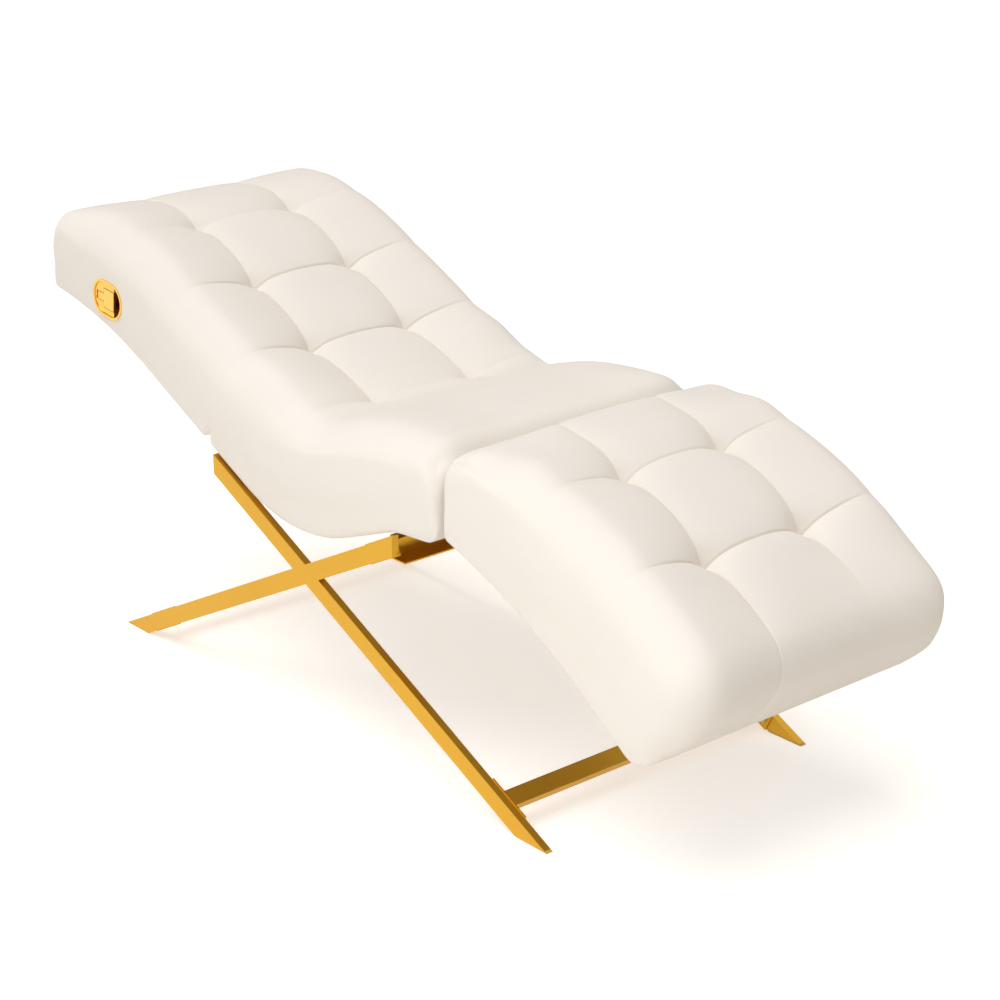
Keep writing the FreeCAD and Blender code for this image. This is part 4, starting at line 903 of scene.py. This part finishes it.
# The hollow of each cover for its boards: its half width, the foam over it, how much more lies over its
# start and how far along, the foam at the ends, and its divisions
HOLLOW_HALF = 0.314
HOLLOW_FOAM = 0.060
START_FOAM = 0.070
START_FOAM_RUN = 0.16
END_FOAM = 0.014
LEG_REAR_FOAM = 0.034
LEG_NOSE_FOAM = 0.049
HOLLOW_DIVISIONS = 48

# Room for the hinge plates: the pin's place, the arm's end, and the pocket's radius and layers
LEG_PIN = (0.3145, 0.540)
LEG_ARM = 0.062
POCKET_RADIUS = 0.016
POCKET_LAYERS = (0.2815, 0.296)


class LASH_OT_body_cover(bpy.types.Operator):
    """Make the cover that runs from the head to the seat's front, open around the pull handle"""

    bl_idname = "lash_chair.body_cover"
    bl_label = "Backrest and seat cover"

    def execute(self, context):
        cover = make_cover("body_cover", BODY_COVER, "back_pad", "seat_pad")
        take_out(cover, hollow_block(BODY_COVER, END_FOAM, BODY_LINE.length - END_FOAM))
        half = (HANDLE_HOLE_LENGTH - HANDLE_HOLE_WIDTH) / 2
        side = -sizes().half_width
        layer = side - HANDLE_HOLE_CLEAR, side + HANDLE_HOLE_DEPTH
        take_out(cover, round_block(handle_spot(-half), handle_spot(half), HANDLE_HOLE_WIDTH / 2, *layer))
        hinge_pockets(cover, -1)
        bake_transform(cover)
        return {"FINISHED"}


def handle_spot(u, w=0.0):
    """A point of the side view, along and across the pull handle."""
    along = np.array((math.cos(HANDLE_TILT), -math.sin(HANDLE_TILT)))
    return np.array((HANDLE_X, HANDLE_Z)) + u * along + w * np.array((-along[1], along[0]))


def take_out(obj, cutter):
    """Cut one shape out of another."""
    cut = obj.modifiers.new("Opening", "BOOLEAN")
    cut.operation = "DIFFERENCE"
    cut.solver = "EXACT"
    cut.object = cutter
    apply_modifier(obj, cut)
    bpy.data.objects.remove(cutter)


def hollow_block(cover, start, end):
    """The room for the boards under a cover, open below, between two distances along it."""
    bpy.ops.object.select_all(action="DESELECT")
    bpy.ops.mesh.primitive_cube_add(size=1, location=(0.5, 0, 0.5))
    block = bpy.context.object
    bpy.ops.object.transform_apply(location=True, rotation=True, scale=True)
    bpy.ops.object.mode_set(mode="EDIT")
    for k in range(1, HOLLOW_DIVISIONS):
        bpy.ops.mesh.select_all(action="SELECT")
        bpy.ops.mesh.bisect(plane_co=(k / HOLLOW_DIVISIONS, 0, 0), plane_no=(1, 0, 0))
    bpy.ops.object.mode_set(mode="OBJECT")
    co = coordinates(block.data)
    s = start + co[:, 0] * (end - start)
    foam = HOLLOW_FOAM + START_FOAM * (1 - ease(s, 0.0, START_FOAM_RUN))
    v = np.where(co[:, 2] > 0.5, cover.line.height(s) - foam, -HOLLOW_FOAM)
    set_coordinates(block.data, cover.line.place(s, np.sign(co[:, 1]) * HOLLOW_HALF, v))
    outward(block)
    return block


def outward(obj):
    select_only(obj)
    bpy.ops.object.mode_set(mode="EDIT")
    bpy.ops.mesh.select_all(action="SELECT")
    bpy.ops.mesh.normals_make_consistent(inside=False)
    bpy.ops.object.mode_set(mode="OBJECT")


def round_block(start, end, radius, y_low, y_high):
    """A round-ended block between two points of the side view and two widths."""
    bpy.ops.object.select_all(action="DESELECT")
    bpy.ops.mesh.primitive_cylinder_add(
        vertices=64, radius=radius, depth=abs(y_high - y_low), location=(0, 0, 0), rotation=(math.pi / 2, 0, 0)
    )
    block = bpy.context.object
    bpy.ops.object.transform_apply(location=True, rotation=True, scale=True)
    start, end = np.array(start), np.array(end)
    reach = np.linalg.norm(end - start)
    along = (end - start) / reach
    co = coordinates(block.data)
    u = co[:, 0] + np.where(co[:, 0] > 0, reach / 2, -reach / 2)
    middle = (start + end) / 2
    x = middle[0] + u * along[0] - co[:, 2] * along[1]
    z = middle[1] + u * along[1] + co[:, 2] * along[0]
    set_coordinates(block.data, np.stack([x, co[:, 1] + (y_low + y_high) / 2, z], axis=1))
    outward(block)
    return block


def hinge_pockets(obj, direction):
    """Cut the room for the leg rest's hinge plates, on both sides."""
    arm = (LEG_PIN[0] + direction * LEG_ARM, LEG_PIN[1])
    low, high = POCKET_LAYERS
    take_out(obj, round_block(LEG_PIN, arm, POCKET_RADIUS, low, high))
    take_out(obj, round_block(LEG_PIN, arm, POCKET_RADIUS, -high, -low))


class LASH_OT_leg_rest_cover(bpy.types.Operator):
    """Make the tufted cover of the leg rest"""

    bl_idname = "lash_chair.leg_rest_cover"
    bl_label = "Leg rest cover"

    def execute(self, context):
        cover = make_cover("leg_rest_cover", LEG_COVER, "leg_pad")
        take_out(cover, hollow_block(LEG_COVER, LEG_REAR_FOAM, LEG_LINE.length - LEG_NOSE_FOAM))
        hinge_pockets(cover, 1)
        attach(cover, "leg_rest")
        return {"FINISHED"}


class LASH_OT_base_finish(bpy.types.Operator):
    """Finish the crossed base in satin gold"""

    bl_idname = "lash_chair.base_finish"
    bl_label = "Gold base"

    def execute(self, context):
        dress(gold_material(), nodes_in_slot("gold_metal"))
        return {"FINISHED"}


class LASH_OT_handle_finish(bpy.types.Operator):
    """Finish the pull handle in plated gold, and set its face plate around the paddle"""

    bl_idname = "lash_chair.handle_finish"
    bl_label = "Pull handle"

    def execute(self, context):
        material = polished_material()
        dress(material, nodes_in_slot("polished_gold"))
        half = (PLATE_LENGTH - PLATE_WIDTH) / 2
        plate = round_block(handle_spot(-half), handle_spot(half), PLATE_WIDTH / 2, *PLATE_LAYER)
        plate.name = "handle_face_plate"
        for u_low, u_high, w_half in PLATE_OPENINGS:
            take_out(plate, plate_opening(u_low, u_high, w_half))
        edge = plate.modifiers.new("Eased", "BEVEL")
        edge.width = PLATE_EASE
        edge.segments = 2
        apply_modifier(plate, edge)
        bpy.ops.object.shade_smooth_by_angle(angle=math.radians(35))
        plate.data.materials.append(material)
        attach(plate, "backrest")
        return {"FINISHED"}


def plate_opening(u_low, u_high, w_half):
    """A block to cut from the face plate, between two distances along the handle."""
    bpy.ops.object.select_all(action="DESELECT")
    bpy.ops.mesh.primitive_cube_add(size=1, location=((u_low + u_high) / 2, sum(PLATE_LAYER) / 2, 0))
    block = bpy.context.object
    block.scale = (u_high - u_low, 0.02, 2 * w_half)
    bpy.ops.object.transform_apply(location=True, rotation=True, scale=True)
    co = coordinates(block.data)
    spots = np.array([handle_spot(u, w) for u, _, w in co])
    set_coordinates(block.data, np.stack([spots[:, 0], co[:, 1], spots[:, 1]], axis=1))
    outward(block)
    return block


class LASH_OT_inner_finish(bpy.types.Operator):
    """Finish the boards, straps, linings, hinges and gas spring"""

    bl_idname = "lash_chair.inner_finish"
    bl_label = "Inner works"

    def execute(self, context):
        dress(plywood_material(), nodes_in_slot("plywood"))
        dress(webbing_material(), nodes_in_slot("webbing"))
        dress(lining_material(), nodes_in_slot("underside_cloth"))
        dress(steel_material(), nodes_in_slot("steel"))
        dress(black_material("black_paint", (0.2, 0.32), 0.5), nodes_in_slot("black_paint"))
        dress(black_material("black_plastic", (0.45, 0.62), 0.0), nodes_in_slot("black_plastic"))
        dress(moulded_gold_material(), nodes_in_slot("gold_plastic"))
        return {"FINISHED"}


# The stage: where the lamps stand and aim, the near lamp's size, the direction across which the sky
# fades, its tints on the near and far side, and the size of the floor
SUN_PLACE = (-0.1, -1.0, 4.2)
NEAR_LAMP_PLACE = (1.1, -2.1, 0.6)
LAMP_AIM = Vector((0.2, 0, 0.45))
NEAR_LAMP_SIZE = 1.6
SKY_ACROSS = (-0.35, 0.94, 0.0)
NEAR_TINT = (1.0, 0.99, 0.98, 1)
FAR_TINT = (1.0, 0.89, 0.75, 1)
WHITE = (1, 1, 1, 1)
FLOOR_SIZE = 60


class LASH_OT_stage(bpy.types.Operator):
    """Set the floor, lamps, even sky light and camera"""

    bl_idname = "lash_chair.stage"
    bl_label = "Stage"

    def execute(self, context):
        settings = context.scene.lash_chair_stage
        add_floor(settings)
        add_lamps(settings)
        add_camera(settings)
        return {"FINISHED"}


def seen_directly(tree):
    """One for camera, glossy and transmission rays, and zero for the rays that only carry light."""
    path = add_node(tree, "LightPath")
    either = add_node(
        tree, "Math", {0: path.outputs["Is Camera Ray"], 1: path.outputs["Is Glossy Ray"]}, operation="MAXIMUM"
    )
    every = add_node(
        tree, "Math", {0: either.outputs[0], 1: path.outputs["Is Transmission Ray"]}, operation="MAXIMUM"
    )
    return every.outputs[0]


def add_floor(settings):
    bpy.ops.object.select_all(action="DESELECT")
    bpy.ops.mesh.primitive_plane_add(size=FLOOR_SIZE, location=(0, 0, 0))
    floor = bpy.context.object
    floor.name = "floor"
    material = bpy.data.materials.new("floor_paper")
    material.use_nodes = True
    tree = material.node_tree
    shader = tree.nodes["Principled BSDF"]
    shader.inputs["Base Color"].default_value = tuple(settings.floor)
    shader.inputs["Roughness"].default_value = 1.0
    shader.inputs["Specular IOR Level"].default_value = 0.0
    lift = add_node(tree, "Math", {0: seen_directly(tree), 1: settings.floor_lift}, operation="MULTIPLY")
    glow = add_node(tree, "Emission", {"Color": WHITE, "Strength": lift.outputs[0]})
    both = add_node(tree, "AddShader", {0: shader.outputs[0], 1: glow.outputs[0]})
    tree.links.new(both.outputs[0], tree.nodes["Material Output"].inputs["Surface"])
    floor.data.materials.append(material)


def add_lamps(settings):
    scene = bpy.context.scene
    world = bpy.data.worlds.new("studio")
    scene.world = world
    world.use_nodes = True
    tree = world.node_tree
    back = tree.nodes["Background"]
    direction = add_node(tree, "TexCoord").outputs["Generated"]
    across = add_node(tree, "VectorMath", {0: direction, 1: SKY_ACROSS}, operation="DOT_PRODUCT").outputs["Value"]
    fall = add_node(
        tree, "MapRange",
        {"Value": across, "From Min": -0.7, "From Max": 0.7, "To Min": settings.sky_near, "To Max": settings.sky_far},
    )
    seen = seen_directly(tree)
    tree.links.new(spread(tree, seen, fall.outputs["Result"], 1.0), back.inputs["Strength"])
    shade = add_node(tree, "MapRange", {"Value": across, "From Min": -0.45, "From Max": 0.5})
    tint = mix(tree, shade.outputs["Result"], NEAR_TINT, FAR_TINT)
    tree.links.new(mix(tree, seen, tint, WHITE), back.inputs["Color"])
    sun = bpy.data.lights.new("soft_sun", "SUN")
    sun.energy = settings.sun
    sun.angle = settings.sun_spread
    near = bpy.data.lights.new("near_lamp", "AREA")
    near.energy = settings.near_lamp
    near.size = NEAR_LAMP_SIZE
    for light, place in ((sun, SUN_PLACE), (near, NEAR_LAMP_PLACE)):
        lamp = bpy.data.objects.new(light.name, light)
        scene.collection.objects.link(lamp)
        lamp.location = place
        lamp.rotation_euler = (LAMP_AIM - Vector(place)).to_track_quat("-Z", "Y").to_euler()


def add_camera(settings):
    scene = bpy.context.scene
    camera = bpy.data.objects.new("camera", bpy.data.cameras.new("camera"))
    scene.collection.objects.link(camera)
    azimuth, elevation = settings.camera_azimuth, settings.camera_elevation
    level = math.cos(elevation)
    back = Vector((math.sin(azimuth) * level, -math.cos(azimuth) * level, math.sin(elevation)))
    camera.location = settings.camera_place
    camera.rotation_euler = (-back).to_track_quat("-Z", "Y").to_euler()
    camera.data.lens = settings.lens
    camera.data.sensor_width = 36
    camera.data.clip_end = 200
    scene.camera = camera
    scene.view_settings.view_transform = "Standard"


STEPS = (
    LASH_OT_base_finish,
    LASH_OT_handle_finish,
    LASH_OT_inner_finish,
    LASH_OT_body_cover,
    LASH_OT_leg_rest_cover,
    LASH_OT_stage,
)


class LASH_PT_panel(bpy.types.Panel):
    """The steps that dress the chair, in order"""

    bl_idname = "LASH_PT_panel"
    bl_label = "Lash chair"
    bl_space_type = "VIEW_3D"
    bl_region_type = "UI"
    bl_category = "Lash chair"

    def draw(self, context):
        for step in STEPS:
            self.layout.operator(step.bl_idname)
        scene = context.scene
        for group in (scene.lash_chair_covers, scene.lash_chair_finishes, scene.lash_chair_stage):
            for name in group.__annotations__:
                self.layout.prop(group, name)


CLASSES = (CoverSizes, FinishColours, StageSettings, *STEPS, LASH_PT_panel)


def register():
    for cls in CLASSES:
        bpy.utils.register_class(cls)
    bpy.types.Scene.lash_chair_covers = PointerProperty(type=CoverSizes)
    bpy.types.Scene.lash_chair_finishes = PointerProperty(type=FinishColours)
    bpy.types.Scene.lash_chair_stage = PointerProperty(type=StageSettings)


def unregister():
    del bpy.types.Scene.lash_chair_stage
    del bpy.types.Scene.lash_chair_finishes
    del bpy.types.Scene.lash_chair_covers
    for cls in reversed(CLASSES):
        bpy.utils.unregister_class(cls)


def main():
    register()
    bpy.ops.lash_chair.base_finish()
    bpy.ops.lash_chair.handle_finish()
    bpy.ops.lash_chair.inner_finish()
    bpy.ops.lash_chair.body_cover()
    bpy.ops.lash_chair.leg_rest_cover()
    bpy.ops.lash_chair.stage()


if __name__ == "__main__":
    main()
